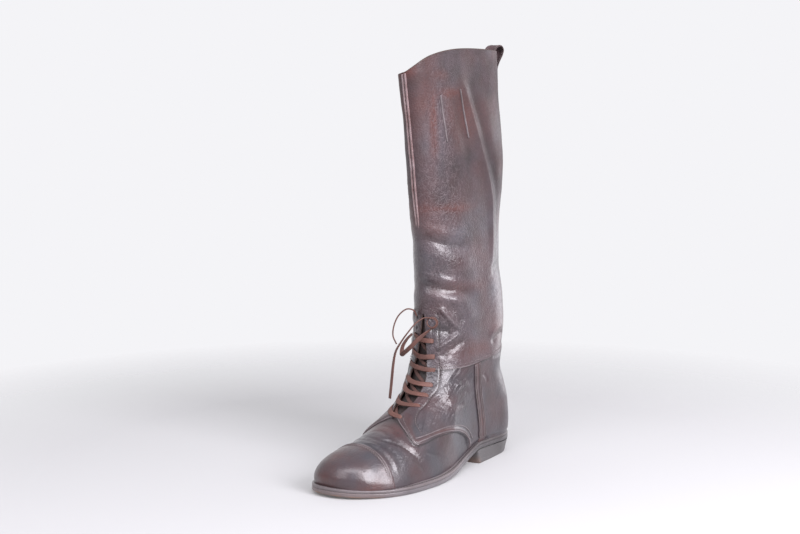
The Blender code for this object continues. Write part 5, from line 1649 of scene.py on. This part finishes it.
def add_floor():
    """A pale floor that fades into the surroundings away from the boot."""
    mesh = bpy.data.meshes.new("floor")
    corners = [(FLOOR_REACH * x, FLOOR_REACH * y, 0) for x, y in ((-1, -1), (1, -1), (1, 1), (-1, 1))]
    mesh.from_pydata(corners, [], [(0, 1, 2, 3)])
    floor = bpy.data.objects.new("floor", mesh)
    bpy.context.scene.collection.objects.link(floor)
    material, tree, shader = new_material("floor_cloth")
    for key, value in FLOOR_LOOKS.items():
        shader.inputs[key].default_value = value
    place = add_node(tree, "TexCoord").outputs["Object"]
    away = add_node(tree, "VectorMath", {"operation": "LENGTH"}, _0=place).outputs["Value"]
    feed(tree, shader.inputs["Alpha"], ramp(tree, away, *FLOOR_FADE, 1.0, 0.0))
    mesh.materials.append(material)


def add_surroundings(ahead):
    """A white wall behind the boot and a dimmer room on the viewer's side of it."""
    world = bpy.data.worlds.new("surroundings")
    world.use_nodes = True
    tree = world.node_tree
    background = tree.nodes["Background"]
    background.inputs["Color"].default_value = ROOM_COLOUR
    towards = add_node(tree, "TexCoord").outputs["Generated"]
    facing = add_node(tree, "VectorMath", {"operation": "DOT_PRODUCT"}, _0=towards, _1=ahead).outputs["Value"]
    feed(tree, background.inputs["Strength"], ramp(tree, facing, *ROOM_TURN, *ROOM_BRIGHTNESS))
    bpy.context.scene.world = world
    bpy.context.scene.view_settings.view_transform = "Standard"


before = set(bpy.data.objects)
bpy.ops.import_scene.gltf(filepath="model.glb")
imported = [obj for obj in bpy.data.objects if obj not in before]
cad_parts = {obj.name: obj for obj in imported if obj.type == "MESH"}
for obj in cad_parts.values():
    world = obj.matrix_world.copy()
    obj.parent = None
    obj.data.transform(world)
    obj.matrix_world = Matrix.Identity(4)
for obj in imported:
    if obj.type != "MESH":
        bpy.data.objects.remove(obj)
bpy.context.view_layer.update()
SHIFT = frame_shift()
eye, ahead, right = add_camera()
add_floor()
add_surroundings(ahead)
for name, start, to_right, to_front, up, aim, size, power in LIGHTS:
    start = eye if start == "camera" else np.zeros(3)
    place = start + right * to_right + ahead * to_front + np.array([0, 0, up])
    add_light(name, place, (0, 0, aim), size, power)

lace_looks = plain("lace_leather_looks", (0.150, 0.066, 0.052), 0.62, 0.25)
# The strands under the bars: the same lace, darker as painted shade
shaded_lace_looks = plain("lace_slant_looks", (0.095, 0.044, 0.036), 0.66, 0.25)
long_turns = LONG_START_TURNS + (RING_TURN,) * RING_POINTS + LONG_TAIL_TURNS
short_turns = (SHORT_TURN,) * len(LACE_SHORT_ROUTE)
make_lace_end("lace_long", "lace_end_long", long_route(), long_turns, lace_looks)
make_lace_end("lace_short", "lace_end_short", LACE_SHORT_ROUTE, short_turns, lace_looks)
make_lace_bars(lace_looks, shaded_lace_looks)

# Leathers: dark, light, reddish and greyish colour, roughness, wax
upper_looks = leather("upper_leather_looks", (0.017, 0.012, 0.013), (0.040, 0.030, 0.036),
                      (0.095, 0.030, 0.026), (0.052, 0.048, 0.058), 0.38, 0.55, slope=40.0)
# The leg's light grey is partly its own tone at random and partly a painted sheen
shaft_looks = leather("shaft_leather_looks", (0.024, 0.012, 0.012), (0.044, 0.026, 0.030),
                      (0.098, 0.030, 0.025), (0.088, 0.078, 0.092), 0.37, 0.52, grain=0.55,
                      stretch=0.45, glint=0.80, slope=-80.0, bend_by=0.8)
# Piping: light pinkish colours, partly worn crests and partly a painted highlight along the cords
piping_looks = leather("piping_leather_looks", (0.170, 0.120, 0.124), (0.340, 0.260, 0.270),
                       (0.200, 0.100, 0.092), (0.200, 0.150, 0.155), 0.30, 0.60)
# Raised lines: lighter than the upper, partly worn edges and partly a painted highlight
bead_looks = leather("bead_leather_looks", (0.085, 0.066, 0.068), (0.150, 0.122, 0.128),
                     (0.160, 0.080, 0.070), (0.140, 0.120, 0.126), 0.45, 0.30)
# Sole: light grey, partly its own colour and partly a painted reflection of the pale floor
sole_looks = leather("sole_leather_looks", (0.075, 0.062, 0.064), (0.130, 0.112, 0.116),
                     (0.160, 0.085, 0.065), (0.160, 0.146, 0.156), 0.42, 0.25)
heel_looks = leather("heel_leather_looks", (0.055, 0.050, 0.050), (0.090, 0.082, 0.082),
                     (0.110, 0.070, 0.055), (0.090, 0.085, 0.088), 0.45, 0.20)
# Plain materials: colour, roughness, strength of the nap
lining_looks = plain("lining_leather_looks", (0.150, 0.078, 0.048), 0.75, 0.25)
edge_looks = plain("edge_leather_looks", (0.075, 0.045, 0.038), 0.55, 0.15)
tongue_looks = plain("tongue_leather_looks", (0.036, 0.024, 0.023), 0.55, 0.2)
thread = plain("thread_looks", (0.200, 0.160, 0.160), 0.60, 0.3, THREAD_SCALE)
welt_thread = plain("welt_thread_looks", (0.050, 0.040, 0.038), 0.65, 0.3, THREAD_SCALE)

make_wall("upper", np.linspace(0.0, SEAM_V, UPPER_ROWS), upper_relief, upper_looks, lining_looks, edge_looks)
make_leg(shaft_looks, lining_looks, edge_looks, bead_looks, piping_looks)
make_tongue(tongue_looks)
make_overlays(upper_looks)
make_outsole(sole_looks)
make_welt(sole_looks, welt_thread)
make_heel(heel_looks)
make_insole(lining_looks)
make_pull_loop(shaft_looks, thread)
make_stitches(thread)
make_beads(bead_looks)
